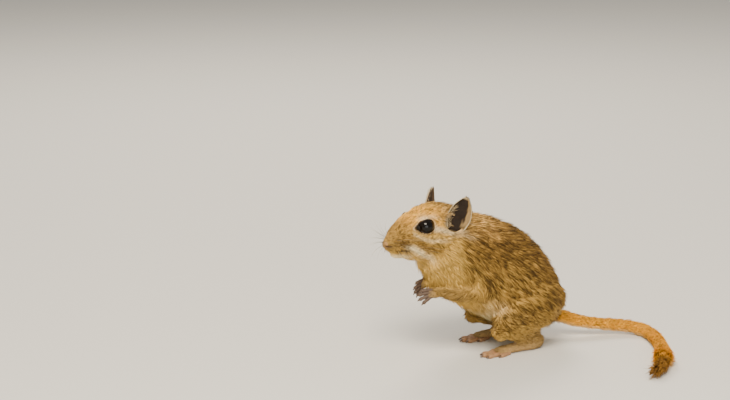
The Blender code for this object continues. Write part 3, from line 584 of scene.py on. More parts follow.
def flesh_surfaces():
    """The closed surfaces that the skin is made of, with the coat's thickness still on them."""
    made = [
        closed_surface(trunk_rings(90, 96)),
        closed_surface(head_rings(90, 96)),
        ellipsoid(head_to_body(CHIN_CENTRE), CHIN_RADII),
        ellipsoid(head_to_body(NOSE_CENTRE), NOSE_RADII),
        tube(round_rows(TAIL[:, :3], TAIL[:, 3]), 28, 140),
        tube(round_rows(BRUSH[:4, :3], (2.3, 1.9, 1.5, 1.1)), 20, 40),
    ]
    for side, _ in SIDES:
        pad_turn = turned(-side * math.degrees(PAD_TURN), 2)
        made.append(ellipsoid(head_to_body(on_side(PAD_CENTRE, -side)), PAD_RADII, pad_turn))
        made.append(ellipsoid(head_to_body(on_side(MOUND_CENTRE, -side)), MOUND_RADII))
        for stem in ("upper_arm", "forearm", "haunch", "shank", "foot"):
            made.append(tube(limb_rows(stem, side), 40, 40))
        palm = on_side(PALM, side) + hand_shift(side)
        made.append(ellipsoid(palm, PALM_RADII, turned(side * 18.0, 2) @ turned(-12.0, 1)))
        thumb = palm + np.array([(0.4, -side * 0.9, 1.4), (-1.8, -side * 1.9, 2.2)])
        made.append(tube(round_rows(thumb, (0.8, 0.6)), 14, 6))
        for path, radius, _ in digits(side):
            made.append(tube(round_rows(path[:3], radius * np.array([0.9, 0.8, 0.6])), 16, 14, 0.8))
    return made


def read_mesh(mesh):
    """A mesh's points and quads as arrays."""
    points = np.empty(len(mesh.vertices) * 3)
    mesh.vertices.foreach_get("co", points)
    quads = np.empty(len(mesh.loops), int)
    mesh.loops.foreach_get("vertex_index", quads)
    return points.reshape(-1, 3), quads.reshape(-1, 4)


def remeshed(points, faces, voxel):
    """The one outer surface of overlapping closed surfaces, by a voxel remesh: points, quads and edges."""
    mesh = bpy.data.meshes.new("forms")
    mesh.from_pydata(points.tolist(), [], faces.tolist())
    obj = bpy.data.objects.new("forms", mesh)
    bpy.context.scene.collection.objects.link(obj)
    remesh = obj.modifiers.new("one_surface", "REMESH")
    remesh.mode = "VOXEL"
    remesh.voxel_size = voxel
    graph = bpy.context.evaluated_depsgraph_get()
    made = bpy.data.meshes.new_from_object(obj.evaluated_get(graph))
    bpy.data.objects.remove(obj, do_unlink=True)
    edges = np.empty(len(made.edges) * 2, int)
    made.edges.foreach_get("vertices", edges)
    found, quads = read_mesh(made)
    bpy.data.meshes.remove(made)
    return found, quads, edges.reshape(-1, 2)


def spread(values, edges, count):
    """The sum of the neighbours' values at each point."""
    total = np.empty_like(values)
    for column in range(values.shape[1]):
        total[:, column] = np.bincount(edges[:, 0], values[edges[:, 1], column], count)
        total[:, column] += np.bincount(edges[:, 1], values[edges[:, 0], column], count)
    return total


def relaxed(values, edges, rounds, amount=0.5):
    """Values drawn towards the mean of their neighbours, by that amount in each round."""
    count = len(values)
    degree = np.maximum(np.bincount(edges.ravel(), minlength=count), 1)[:, None]
    amount = np.broadcast_to(np.asarray(amount, float), count)[:, None]
    for _ in range(rounds):
        values = values + amount * (spread(values, edges, count) / degree - values)
    return values


def point_normals(points, quads):
    """The mean of the faces' normals round each point, weighed by the faces' areas."""
    normals = np.cross(points[quads[:, 2]] - points[quads[:, 0]], points[quads[:, 3]] - points[quads[:, 1]])
    total = np.empty_like(points)
    for column in range(3):
        weights = np.repeat(normals[:, column], 4)
        total[:, column] = np.bincount(quads.ravel(), weights, len(points))
    return unit(total)


def axis_rows(rows, samples):
    """The middle line of a limb: its points, its directions and its two radii."""
    read = along_path(rows, np.linspace(0.0, 1.0, samples))
    ahead, sideways, upwards = frames_along(read[:, :3])
    return read[:, :3], ahead, sideways, upwards, read[:, 3], read[:, 4]


def body_axes():
    """The middle line of each part of the body, under the part's name."""
    made = {}
    rows = np.array(HEAD_SECTIONS)
    read = through(rows[:, 0], rows, np.linspace(-13.5, 23.0, 40))
    centre = head_to_body(np.stack([read[:, 0], np.zeros(40), (read[:, 1] + read[:, 2]) / 2], -1))
    ahead = np.broadcast_to(head_ways([1.0, 0.0, 0.0]), centre.shape)
    sideways = np.broadcast_to(head_ways([0.0, 1.0, 0.0]), centre.shape)
    upwards = np.broadcast_to(UPRIGHT, centre.shape)
    made["head"] = (centre, ahead, sideways, upwards, read[:, 3], (read[:, 1] - read[:, 2]) / 2)
    read = trunk_sections(np.linspace(0.1, 0.97, 60))
    half = np.stack([read[:, 0] - read[:, 2], np.zeros(60), read[:, 1] - read[:, 3]], -1) / 2
    centre = np.stack([read[:, 0] + read[:, 2], np.zeros(60), read[:, 1] + read[:, 3]], -1) / 2
    upwards = unit(half)
    sideways = np.broadcast_to(np.array([0.0, 1.0, 0.0]), centre.shape)
    ahead = np.cross(sideways, upwards)
    made["trunk"] = (centre, ahead, sideways, upwards, read[:, 4], np.linalg.norm(half, axis=1))
    for side, word in SIDES:
        for stem in ("upper_arm", "forearm", "haunch", "shank"):
            made[f"{stem}_{word}"] = axis_rows(limb_rows(stem, side), 16)
        palm = on_side(PALM, side) + hand_shift(side)
        way = np.array(FINGER_WAYS_LEFT[1] if side < 0 else FINGER_WAYS_RIGHT[1])
        hand = palm + unit(way) * np.array([-1.6, 1.0, 3.6, 6.4])[:, None]
        hand = np.column_stack([hand, (1.8, 1.7, 1.2, 1.0), (2.6, 2.8, 2.8, 2.6)])
        made[f"hand_{word}"] = axis_rows(hand, 12)
        foot = limb_rows("foot", side)
        toes = np.array([foot[-1, 0] - 7.0, foot[-1, 1], 1.0, 4.2, 1.1])
        made[f"foot_{word}"] = axis_rows(np.concatenate([foot, [toes]]), 20)
    tail = np.concatenate([TAIL, BRUSH[1:3]])
    made["tail"] = axis_rows(np.column_stack([tail, tail[:, 3]]), 80)
    return made


def measured(axis, points):
    """Where points lie against a part's middle line.

    Gives the distance from it as a share of the part's radius, the share of its length, the turn about it
    from its upper side, and the direction ahead there.
    """
    centre, ahead, sideways, upwards, across, rise = axis
    reach = np.empty(len(points))
    share = np.empty(len(points))
    turn = np.empty(len(points))
    way = np.empty((len(points), 3))
    for start in range(0, len(points), POINTS_AT_ONCE):
        part = slice(start, start + POINTS_AT_ONCE)
        offset = points[part, None] - centre[None]
        forth = np.einsum("nmk,mk->nm", offset, ahead) / ((across + rise) / 2)
        wide = np.einsum("nmk,mk->nm", offset, sideways) / across
        high = np.einsum("nmk,mk->nm", offset, upwards) / rise
        total = np.sqrt(forth**2 + wide**2 + high**2)
        nearest = total.argmin(1)
        rows = np.arange(len(nearest))
        reach[part] = total[rows, nearest]
        share[part] = nearest / (len(centre) - 1)
        turn[part] = np.arctan2(wide[rows, nearest], high[rows, nearest])
        way[part] = ahead[nearest]
    return reach, share, turn, way


def stem_of(name):
    return name.replace("_left", "").replace("_right", "")


def body_map(points):
    """How much each part counts at each point, and each part's own measures there.

    A part's weight falls by e for each seventh of a radius that it lies further out than the nearest part.
    """
    axes = body_axes()
    names = list(axes)
    found = [measured(axes[name], points) for name in names]
    reach = np.stack([row[0] for row in found], 1)
    weight = np.exp(-7.0 * (reach - reach.min(1, keepdims=True)))
    return names, weight / weight.sum(1, keepdims=True), found


def opening_reach(turn):
    """How far the lids stand open at a turn from forwards: an ellipse, and a narrow bell in front."""
    ellipse = 1.0 / np.hypot(np.cos(turn) / OPENING_REAR, np.sin(turn) / OPENING_HEIGHT)
    return ellipse + (OPENING_FRONT - OPENING_REAR) * bell(turn + 0.10, 0.27)


def eye_place(points, side):
    """Points against an eye: forwards, upwards, outwards, and as shares of the lids' opening."""
    middle, aim, forward, upward = eye_frame(side)
    offset = body_to_head(points) - middle
    a, b, h = offset @ forward, offset @ upward, offset @ aim
    reach = opening_reach(np.arctan2(b - OPENING_RISE, a))
    return a, b, h, np.where(h > -1.0, np.hypot(a, b - OPENING_RISE) / reach, 9.0)


def opening_share(points):
    """The smaller of the two eyes' shares of their openings."""
    return np.minimum(eye_place(points, -1)[3], eye_place(points, 1)[3])


def hollow_reach(place):
    """How far points of the head's frame lie from the middle of the nearer ear's hollow, in its radii."""
    mirrored = place * np.where(place[:, 1:2] < 0, (1.0, -1.0, 1.0), 1.0)
    return np.linalg.norm((mirrored - CONCHA_CENTRE) / CONCHA_RADII, axis=1)


def hollow_place(points, side):
    """Points of the body's frame against the hollow before an ear, as shares of its radii."""
    return (body_to_head(points) - on_side(CONCHA_CENTRE, -side)) / CONCHA_RADII


def distance_to_path(points, path):
    """How far points lie from a path, from forty places along it."""
    knots = np.linspace(0.0, 1.0, len(path))
    line = through(knots, np.asarray(path, float), np.linspace(0.0, 1.0, 40))
    return np.linalg.norm(points[:, None] - line[None], axis=2).min(1)


def near_head(points, low=-17.0, high=27.0):
    place = body_to_head(points)
    return (place[:, 0] > low) & (place[:, 0] < high) & (place[:, 2] > -18.0)


def coat_depth(points, names, weight):
    """The depth of the coat at each point, thinnest on the muzzle and round the eyes and ears."""
    depth = weight @ np.array([COAT[stem_of(name)][0] for name in names])
    place = body_to_head(points)
    head = weight[:, names.index("head")]
    muzzle = smooth_step(-3.0, -10.0, place[:, 0])
    depth = depth * (1.0 - 0.5 * head * muzzle)
    for side, _ in SIDES:
        rho = eye_place(points, side)[3]
        depth = depth * (1.0 - 0.6 * head * smooth_step(3.2, 1.2, rho))
    return depth


def shape_eyes(points):
    """Sinks the skin under each ball inside its opening, and brings it up to the ball at the rim."""
    made = points.copy()
    for side, _ in SIDES:
        aim = eye_frame(side)[1]
        a, b, h, rho = eye_place(made, side)
        flat = np.hypot(a, b)
        near = (rho < 2.2) & (h > -1.5)
        ball = np.sqrt(np.clip(EYE_RADIUS**2 - flat**2, 0.02, None))
        inside = np.where(flat < EYE_RADIUS, ball - 0.75, h)
        rim = ball + 0.1
        wanted = inside + (np.maximum(rim, 0.0) - inside) * smooth_step(0.94, 1.12, rho)
        share = 1.0 - smooth_step(1.2, 1.75, rho)
        change = np.where(near, (wanted - h) * share, 0.0)
        made = made + change[:, None] * head_ways(aim)
    return made


def shape_conchas(points):
    """Moves what lies in the hollow before each ear to the hollow's inner wall."""
    made = points.copy()
    for side, _ in SIDES:
        place = hollow_place(made, side)
        outward = np.where(side * place[:, 1] > 0, 0.0, place[:, 1])
        inside = (place[:, 0] ** 2 + outward**2 + place[:, 2] ** 2 < 1.0) & (side * place[:, 1] < 1.6)
        inside &= side * place[:, 1] > -1.0
        wall = -side * np.sqrt(np.clip(1.0 - place[:, 0] ** 2 - place[:, 2] ** 2, 0.0, None))
        change = np.where(inside, (wall - place[:, 1]) * CONCHA_RADII[1], 0.0)
        made = made + change[:, None] * head_ways([0.0, 1.0, 0.0])
    return made


def face_grooves(points):
    """How near each point is to the line of the mouth, the cleft and the nostrils, from 0 to 1."""
    near = near_head(points, high=-4.0)
    place = body_to_head(points[near])
    mouth = np.full(len(points), 9.0)
    nose = np.full(len(points), 9.0)
    if len(place):
        mouth[near] = distance_to_path(place, CLEFT_PATH)
        for side, _ in SIDES:
            mouth[near] = np.minimum(mouth[near], distance_to_path(place, on_side(MOUTH_PATH, -side)))
            nose[near] = np.minimum(nose[near], distance_to_path(place, on_side(NOSTRIL_PATH, -side)))
    return bell(mouth, 0.42), bell(nose, 0.62)


def make_skin_shape():
    """The skin: one surface round all the forms, eased where they meet, then drawn in by the coat's depth."""
    points, quads, edges = remeshed(*joined(flesh_surfaces()), VOXEL)
    points = relaxed(points, edges, SKIN_SMOOTHING)
    names, weight, _ = body_map(points)
    stems = [stem_of(name) for name in names]
    fine = {"hand": 0.0, "foot": 0.0, "tail": 0.1, "forearm": 0.5, "shank": 0.6}
    ease = weight @ np.array([fine.get(stem, 1.0) for stem in stems])
    place = body_to_head(points)
    ease *= np.where(near_head(points), smooth_step(-8.0, 4.0, place[:, 0]), 1.0)
    normals = point_normals(points, quads)
    mean = relaxed(points, edges, 2)
    hollow = dots(mean - points, normals)
    crease = smooth_step(0.004, 0.05, hollow)[:, None]
    crease = np.clip(relaxed(crease, edges, 30)[:, 0] * 3.0, 0.0, 1.0)
    points = relaxed(points, edges, CREASE_SMOOTHING, 0.5 * crease * ease)
    normals = point_normals(points, quads)
    points = points - normals * coat_depth(points, names, weight)[:, None]
    points = relaxed(points, edges, 3, 0.4)
    points = shape_conchas(points)
    points = relaxed(points, edges, 4, 0.5 * near_head(points, 6.0, 24.0))
    points = shape_eyes(points)
    mouth, nose = face_grooves(points)
    normals = point_normals(points, quads)
    return points - normals * (0.55 * mouth + 0.5 * nose)[:, None], quads


def put_mesh(name, points, faces, finish, colours=None, uvs=None):
    """A smooth mesh object from arrays in millimetres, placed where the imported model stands."""
    mesh = bpy.data.meshes.new(name)
    placed = ((np.asarray(points, float) + SHIFT) * MM).astype(np.float32)
    faces = np.ascontiguousarray(faces, np.int32)
    mesh.vertices.add(len(placed))
    mesh.vertices.foreach_set("co", placed.ravel())
    mesh.loops.add(faces.size)
    mesh.loops.foreach_set("vertex_index", faces.ravel())
    mesh.polygons.add(len(faces))
    mesh.polygons.foreach_set("loop_start", np.arange(0, faces.size, faces.shape[1], dtype=np.int32))
    mesh.polygons.foreach_set("use_smooth", np.ones(len(faces), bool))
    mesh.update(calc_edges=True)
    if colours is not None:
        layer = mesh.color_attributes.new("marking", "FLOAT_COLOR", "POINT")
        rgba = np.ones((len(placed), 4), np.float32)
        rgba[:, :3] = colours
        layer.data.foreach_set("color", rgba.ravel())
    if uvs is not None:
        layer = mesh.uv_layers.new(name="OFBake")
        layer.uv.foreach_set("vector", np.asarray(uvs, np.float32)[faces.ravel()].ravel())
    mesh.materials.append(finish)
    obj = bpy.data.objects.new(name, mesh)
    bpy.context.scene.collection.objects.link(obj)
    return obj


def settle(obj, slot, *replaced):
    """Makes a piece ride on the body, takes the name of its finish but does not use it, and hides the nodes
    that it stands for.
    """
    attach(obj, "root")
    if replaced:
        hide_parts(*replaced)


def add_node(tree, kind, links=None, values=None, **settings):
    """Adds one node, with its settings, its plain input values, and its inputs' links from other sockets."""
    node = tree.nodes.new(kind)
    for name, value in settings.items():
        setattr(node, name, value)
    for name, value in (values or {}).items():
        node.inputs[name].default_value = value
    for name, socket in (links or {}).items():
        tree.links.new(socket, node.inputs[name])
    return node


def new_finish(name):
    """A bare material with its node tree, its shader and the Object coordinates."""
    made = bpy.data.materials.new(name)
    made.use_nodes = True
    tree = made.node_tree
    place = add_node(tree, "ShaderNodeTexCoord").outputs["Object"]
    return made, tree, tree.nodes["Principled BSDF"], place


def dress(shader, **values):
    for name, value in values.items():
        shader.inputs[name.replace("_", " ")].default_value = value


def marked_tint(tree, shader, place, noise, low, high):
    """Colours the shader by the piece's marking, times fine noise from low to high, and gives the noise."""
    tint = add_node(tree, "ShaderNodeAttribute", attribute_name="marking").outputs["Color"]
    grain = add_node(tree, "ShaderNodeTexNoise", {"Vector": place}, noise).outputs["Fac"]
    reach = {"From Min": 0.3, "From Max": 0.7, "To Min": low, "To Max": high}
    uneven = add_node(tree, "ShaderNodeMapRange", {"Value": grain}, reach).outputs["Result"]
    shade = add_node(tree, "ShaderNodeVectorMath", {0: tint, 1: uneven}, operation="MULTIPLY")
    tree.links.new(shade.outputs["Vector"], shader.inputs["Base Color"])
    return grain


def hair_finish(name, roughness, sheen):
    """Keratin hair that lies in tufts.

    The marking gives each tuft its slate root, its band and its tip. Fine noise at a third of a millimetre,
    about three hairs, breaks it lengthwise, and a soft sheen gives the pale bloom at grazing angles.
    """
    made, tree, shader, place = new_finish(name)
    hairs = marked_tint(tree, shader, place, {"Scale": 3000.0, "Detail": 2.0, "Roughness": 0.6}, 0.82, 1.14)
    bump = add_node(tree, "ShaderNodeBump", {"Height": hairs}, {"Strength": 0.25, "Distance": 0.00006})
    tree.links.new(bump.outputs["Normal"], shader.inputs["Normal"])
    dress(shader, Roughness=roughness, IOR=1.55, Specular_IOR_Level=0.09)
    dress(shader, Sheen_Weight=sheen, Sheen_Roughness=0.5, Sheen_Tint=(1.0, 0.86, 0.66, 1.0))
    return made


def skin_finish(name, roughness, scale, depth, subsurface):
    """Living skin: creases of the given scale, an uneven tint, and light that goes a little way in."""
    made, tree, shader, place = new_finish(name)
    marked_tint(tree, shader, place, {"Scale": 700.0, "Detail": 4.0}, 0.84, 1.12)
    grain = {"Scale": scale, "Randomness": 0.9}
    creases = add_node(tree, "ShaderNodeTexVoronoi", {"Vector": place}, grain, feature="DISTANCE_TO_EDGE")
    height = {"Height": creases.outputs["Distance"]}
    bump = add_node(tree, "ShaderNodeBump", height, {"Strength": 0.6, "Distance": depth})
    tree.links.new(bump.outputs["Normal"], shader.inputs["Normal"])
    dress(shader, Roughness=roughness, IOR=1.4, Specular_IOR_Level=0.35)
    dress(shader, Subsurface_Weight=subsurface, Subsurface_Scale=0.001, Subsurface_Radius=(1.0, 0.4, 0.25))
    return made


def eye_finish(name):
    """A wet cornea over a near-black iris: a hard, clear highlight over a warm depth."""
    made, tree, shader, place = new_finish(name)
    marked_tint(tree, shader, place, {"Scale": 2500.0, "Detail": 3.0}, 0.7, 1.3)
    dress(shader, Roughness=0.05, IOR=1.36, Specular_IOR_Level=0.24, Coat_Weight=0.12, Coat_Roughness=0.02)
    return made


def claw_finish(name):
    """Horn of a small claw: brownish, half gloss, with lengthwise growth lines."""
    made, tree, shader, place = new_finish(name)
    bands = {"Scale": 1800.0, "Distortion": 3.0, "Detail": 2.0}
    lines = add_node(tree, "ShaderNodeTexWave", {"Vector": place}, bands, bands_direction="Y")
    ramp = add_node(tree, "ShaderNodeValToRGB", {"Fac": lines.outputs["Fac"]})
    ramp.color_ramp.elements[0].color = (*linear("#33231a"), 1.0)
    ramp.color_ramp.elements[1].color = (*linear("#6a5038"), 1.0)
    tree.links.new(ramp.outputs["Color"], shader.inputs["Base Color"])
    dress(shader, Roughness=0.32, IOR=1.54)
    return made


def floor_finish(name, colour):
    """Matt paper of a studio sweep: pale and even, with the faint mottle of its fibres."""
    made, tree, shader, place = new_finish(name)
    fibres = add_node(tree, "ShaderNodeTexNoise", {"Vector": place}, {"Scale": 900.0, "Detail": 5.0})
    ramp = add_node(tree, "ShaderNodeValToRGB", {"Fac": fibres.outputs["Fac"]})
    ramp.color_ramp.elements[0].color = (*(0.965 * np.array(colour)), 1.0)
    ramp.color_ramp.elements[1].color = (*colour, 1.0)
    tree.links.new(ramp.outputs["Color"], shader.inputs["Base Color"])
    dress(shader, Roughness=0.9, Specular_IOR_Level=0.2)
    return made


def finish_named(name, make, *settings):
    """The material of that name, made on its first use."""
    return bpy.data.materials.get(name) or make(name, *settings)


def coat_finish():
    return finish_named("agouti hair", hair_finish, 0.62, 0.015)


def band_at(place, line, width):
    """How near points come to a line drawn on the side of the head, by their x and z, from 0 to 1."""
    knots = np.linspace(0.0, 1.0, len(line))
    path = through(knots, np.asarray(line, float), np.linspace(0.0, 1.0, 30))
    away = np.linalg.norm(place[:, None, [0, 2]] - path[None], axis=2).min(1)
    return bell(away, width)


def spot(place, middle, radii):
    """1 at a place on the side of the head and falling off as a bell within the given radii, by x and z."""
    off = ((place[:, 0] - middle[0]) / radii[0]) ** 2 + ((place[:, 2] - middle[1]) / radii[1]) ** 2
    return np.exp(-off)


def whisker_roots(side):
    """Four staggered rows of whisker roots on the pad beside the nose, from its front to its rear."""
    row, column = (part.ravel() for part in np.meshgrid(np.arange(4), np.arange(5), indexing="ij"))
    x = -12.9 + 1.1 * column + 0.4 * (row % 2)
    z = -4.3 - 1.15 * row - 0.25 * column
    y = np.interp(x, [-13.0, -11.4, -9.4, -6.9], [3.9, 5.2, 6.5, 7.8]) * (1.0 - 0.022 * (z + 6.0) ** 2)
    return np.stack([x, side * y, z], -1), row, column


def layered(colour, palette, layers):
    """Colours laid over one another in turn, each by its share at every point."""
    for name, share in layers:
        colour = mixed(colour, palette[name], share)
    return colour


def head_marking(points, palette):
    """The colour of the head: sandy above, gold on the cheeks, pale streaks, dark band, cream jaw, and
    painted shade in places.
    """
    place = body_to_head(points)
    x, y, z = place[:, 0], np.abs(place[:, 1]), place[:, 2]
    mirrored = np.stack([x, y, z], -1)
    side = smooth_step(2.5, 5.5, y)
    jaw_line = np.interp(x, [-12.0, -8.0, -4.0, 1.0, 9.0, 16.0], [-9.4, -8.8, -9.2, -11.0, -12.0, -12.2])
    band = band_at(place, CHEEK_BAND, 1.5) * side
    shell = hollow_reach(place)
    near = (x < -6.0) & (x > -14.5)
    speck = np.zeros(len(points))
    for which, _ in SIDES:
        away = np.linalg.norm(place[near][:, None] - whisker_roots(which)[0][None], axis=2).min(1)
        speck[near] = np.maximum(speck[near], bell(away, 0.5))
    layers = (
        # The brow, the crown, the bridge of the nose, the cheek's rear, partly painted shade where it turns
        # under, and the jaw and throat.
        ("sand", smooth_step(-2.5, 3.5, z) * smooth_step(13.0, 4.0, x)),
        ("cinnamon", 0.6 * smooth_step(4.0, 14.0, x) * smooth_step(1.0, 6.0, z)),
        ("cinnamon", 0.65 * smooth_step(-3.0, -8.0, x) * smooth_step(-7.5, -4.0, z)),
        ("cinnamon", 0.7 * smooth_step(6.0, 12.0, x) * smooth_step(-5.0, -7.5, z) * side),
        ("straw", smooth_step(0.8, -0.9, z - jaw_line)),
        # The brown band below the cheek and its dark rear end, partly painted shade where the cheek turns
        # under, the streak along the lip, and the whiskers' pad.
        ("umber", (0.7 + 0.2 * smooth_step(1.0, 7.0, x)) * band * smooth_step(-6.6, -4.2, x)),
        ("umber", 0.7 * spot(place, (9.6, -8.4), (4.2, 2.1)) * side),
        ("cream", 0.97 * band_at(place, LIP_STREAK, 1.2) * side),
        ("umber", 0.5 * spot(place, (-10.2, -6.2), (2.6, 2.2)) * side),
        # The streaks below and behind the eye, the brow above it, the ear's front, and painted shade at the
        # eye's rear corner.
        ("cream", 0.45 * band_at(place, LOWER_STREAK, 0.85) * side),
        ("umber", 0.35 * spot(place, (4.4, -2.6), (3.6, 0.8)) * side),
        ("pale", 0.95 * band_at(place, UPPER_STREAK, 1.1) * side),
        ("pale", 0.6 * spot(place, (2.0, 3.9), (3.8, 0.9)) * side),
        ("pale", 0.4 * spot(place, (9.6, 2.0), (1.0, 3.2)) * side),
        ("umber", 0.5 * spot(place, (5.4, -0.4), (0.8, 1.5)) * side),
        # The chin, the ring round the ear's hollow, painted shade in the notch below it, the eye's ring,
        # painted shade round the nostril, and the specks.
        ("cream", 0.8 * smooth_step(-10.2, -11.4, z) * smooth_step(-5.0, -9.0, x)),
        ("pale", 0.6 * smooth_step(1.22, 1.08, shell) * smooth_step(-1.6, -0.4, z) * side),
        ("tip", 0.95 * band_at(place, NOTCH, 0.8) * side),
        ("pale", 0.5 * smooth_step(1.42, 1.12, opening_share(points))),
        ("tip", 0.95 * bell(distance_to_path(mirrored, NOSTRIL_PATH), 1.0)),
        ("tip", 0.95 * speck),
    )
    return layered(palette["gold"], palette, layers)


def trunk_marking(share, turn, points, palette):
    """The colour of the trunk by the share of its length and the turn from the back: agouti, cream below, and
    painted shade low on the side of the neck and shoulder.
    """
    degrees = np.abs(np.degrees(turn))
    border = np.interp(share, [0.0, 0.06, 0.16, 0.4, 0.75, 1.0], [80.0, 95.0, 116.0, 126.0, 130.0, 140.0])
    border = border + 4.0 * ripple(points, 9.0, 31)
    nape = smooth_step(0.36, 0.10, share) * smooth_step(75.0, 35.0, degrees)
    rear = smooth_step(0.42, 0.24, share)
    # Painted shade low on the side of the neck and shoulder.
    shoulder_shade = smooth_step(0.04, 0.14, share) * rear * smooth_step(45.0, 75.0, degrees)
    layers = (
        ("gold", 0.8 * smooth_step(40.0, 105.0, degrees)),
        ("sand", 0.75 * nape),
        ("pale", 0.15 * nape),
        ("umber", 0.40 * shoulder_shade),
    )
    colour = layered(palette["cinnamon"], palette, layers)
    # In front the underside is straw: the throat's and chest's golden cream, partly darkened as painted shade
    # under the head.
    under = mixed(palette["straw"], palette["cream"], smooth_step(0.30, 0.55, share) * 0.8)
    return mixed(colour, under, smooth_step(-11.0, 11.0, degrees - border))


def marking(points, palette, names, weight, found):
    """The coat's colour, with painted shade in places, at points of the skin, which the skin and the tufts
    share.
    """
    colour = np.zeros_like(points)
    for number, name in enumerate(names):
        stem, (_, share, turn, _) = stem_of(name), found[number]
        if stem == "head":
            own = head_marking(points, palette)
        elif stem == "trunk":
            own = trunk_marking(share, turn, points, palette)
        elif stem in ("upper_arm", "haunch"):
            inner = smooth_step(70.0, 125.0, np.abs(np.degrees(turn)))
            own = mixed(mixed(palette["cinnamon"], palette["gold"], 0.6), palette["straw"], 0.6 * inner)
        elif stem in ("forearm", "shank"):
            own = mixed(mixed(palette["straw"], palette["umber"], 0.55), palette["paw"], 0.2 + 0.3 * share)
        elif stem == "hand":
            own = mixed(palette["paw"], palette["finger"], smooth_step(0.3, 0.6, share))
        elif stem == "foot":
            own = np.broadcast_to(np.array(palette["paw"]), points.shape)
        else:
            under = smooth_step(100.0, 150.0, np.abs(np.degrees(turn)))
            own = mixed(palette["tail"], palette["cream"], 0.35 * under)
            own = mixed(own, palette["brush"], 0.85 * smooth_step(0.84, 0.94, share))
        colour += own * weight[:, number : number + 1]
    return colour


# For each colour, how many of its tufts have dark tips, and how much its locks differ in tone. The third
# value only fills the row, because the marking mixes rows of three.
TRAITS = {
    "gold": (1.0, 1.0, 0.0),
    "sand": (0.85, 1.0, 0.0),
    "cinnamon": (1.0, 1.0, 0.0),
    "cream": (0.0, 0.35, 0.0),
    "straw": (0.05, 0.4, 0.0),
    "pale": (0.05, 0.5, 0.0),
    "umber": (1.0, 1.0, 0.0),
    "paw": (0.2, 0.6, 0.0),
    "finger": (0.0, 0.6, 0.0),
    "tail": (0.4, 0.7, 0.0),
    "brush": (0.4, 0.9, 0.0),
    "tip": (0.0, 0.6, 0.0),
}


def flow_over(points, normals, names, weight, found):
    """The way that the hair lies: away from the nose, along the back, down the limbs and along the tail."""
    flow = np.zeros_like(points)
    for number, name in enumerate(names):
        stem, (_, share, turn, way) = stem_of(name), found[number]
        if stem == "head":
            place = body_to_head(points)
            own = unit(place - np.array([-19.0, 0.0, -4.5]))
            own[:, 2] -= 0.28 * smooth_step(0.0, 7.0, place[:, 0]) * smooth_step(3.0, -5.0, place[:, 2])
            own = head_ways(own)
            for side, _ in SIDES:
                _, _, forward, upward = eye_frame(side)
                a, b, _, rho = eye_place(points, side)
                out = head_ways(unit(forward * a[:, None] + upward * b[:, None]))
                inward = -dots(own, out)
                share_near = 1.0 - smooth_step(1.3, 3.2, rho)
                own = own + out * (np.clip(inward + 0.35, 0.0, 1.0) * share_near)[:, None]
        elif stem == "trunk":
            lower = smooth_step(20.0, 80.0, np.abs(np.degrees(turn)))
            own = way - UPRIGHT * (0.32 * lower)[:, None]
        elif stem == "haunch":
            low = smooth_step(24.0, 10.0, points[:, 2])
            own = unit(mixed([0.62, 0.0, -0.78], [0.98, 0.0, -0.15], low))
        elif stem == "upper_arm":
            own = np.broadcast_to(np.array([0.28, 0.0, -0.96]), points.shape)
        else:
            own = way
        flow += own * weight[:, number : number + 1]
    swirl = unit(np.cross(normals, flow))
    flow = unit(flow) + swirl * (0.22 * ripple(points, 7.0, 11) + 0.10 * ripple(points, 2.6, 12))[:, None]
    flow = flow - normals * dots(flow, normals)[:, None]
    return unit(flow)


def coat_sizes(points, names, weight, share_tail, settings):
    """A tuft's length, half width and lift at each root, and how many stand on a square millimetre."""
    table = np.array([COAT[stem_of(name)] for name in names])
    _, length, half, lift, density = (weight @ table).T
    place = body_to_head(points)
    head = weight[:, names.index("head")]
    rise = np.interp(place[:, 0], [-14.0, -8.0, 0.0, 8.0, 20.0], [0.42, 0.62, 0.82, 1.05, 1.5])
    length = length * (1.0 - head + head * rise)
    by_ear = head * smooth_step(1.6, 1.15, hollow_reach(place))
    length, half = length * (1.0 - 0.5 * by_ear), half * (1.0 - 0.4 * by_ear)
    half = half * (1.0 - head + head * np.interp(place[:, 0], [-14.0, -6.0, 6.0], [0.62, 0.85, 1.05]))
    for side, _ in SIDES:
        rho = eye_place(points, side)[3]
        length = length * (0.34 + 0.66 * smooth_step(1.3, 2.8, rho))
        haunch = weight[:, names.index("haunch_left" if side < 0 else "haunch_right")]
        low = haunch * smooth_step(20.0, 9.0, points[:, 2])
        length, lift = length * (1.0 - 0.5 * low), lift * (1.0 - 0.4 * low)
    jaw = head * smooth_step(-8.0, -12.5, place[:, 2]) * smooth_step(-11.0, -4.0, place[:, 0])
    length, lift = length * (1.0 + 0.7 * jaw), lift * (1.0 + 0.35 * jaw)
    grow = smooth_step(0.70, 0.90, share_tail) * weight[:, names.index("tail")]
    length = length * (1.0 + 1.8 * grow)
    return length * settings.length, half * settings.width, lift * settings.lift, density * settings.density


def bare_places(points, weight, names):
    """True where no tuft grows: in the eyes' openings, nose leather, hollows of the ears, soles and palms."""
    place = body_to_head(points)
    head = weight[:, names.index("head")] > 0.4
    bare = np.zeros(len(points), bool)
    for side, _ in SIDES:
        bare |= head & (eye_place(points, side)[3] < 1.12)
        shell = hollow_place(points, side)
        outward = np.where(side * shell[:, 1] > 0, 0.0, shell[:, 1])
        bare |= head & (shell[:, 0] ** 2 + outward**2 + shell[:, 2] ** 2 < 1.0) & (side * place[:, 1] > 3.0)
        bare |= head & (band_at(place, NOTCH, 0.8) > 0.45) & (side * place[:, 1] > 5.0)
    nose = (place - NOSE_CENTRE) / (NOSE_RADII * 1.02)
    bare |= head & ((nose**2).sum(1) < 1.0) & (place[:, 0] < -14.6)
    mouth, nostril = face_grooves(points)
    bare |= (mouth > 0.55) | (nostril > 0.4)
    bare |= points[:, 2] < 0.7
    return bare


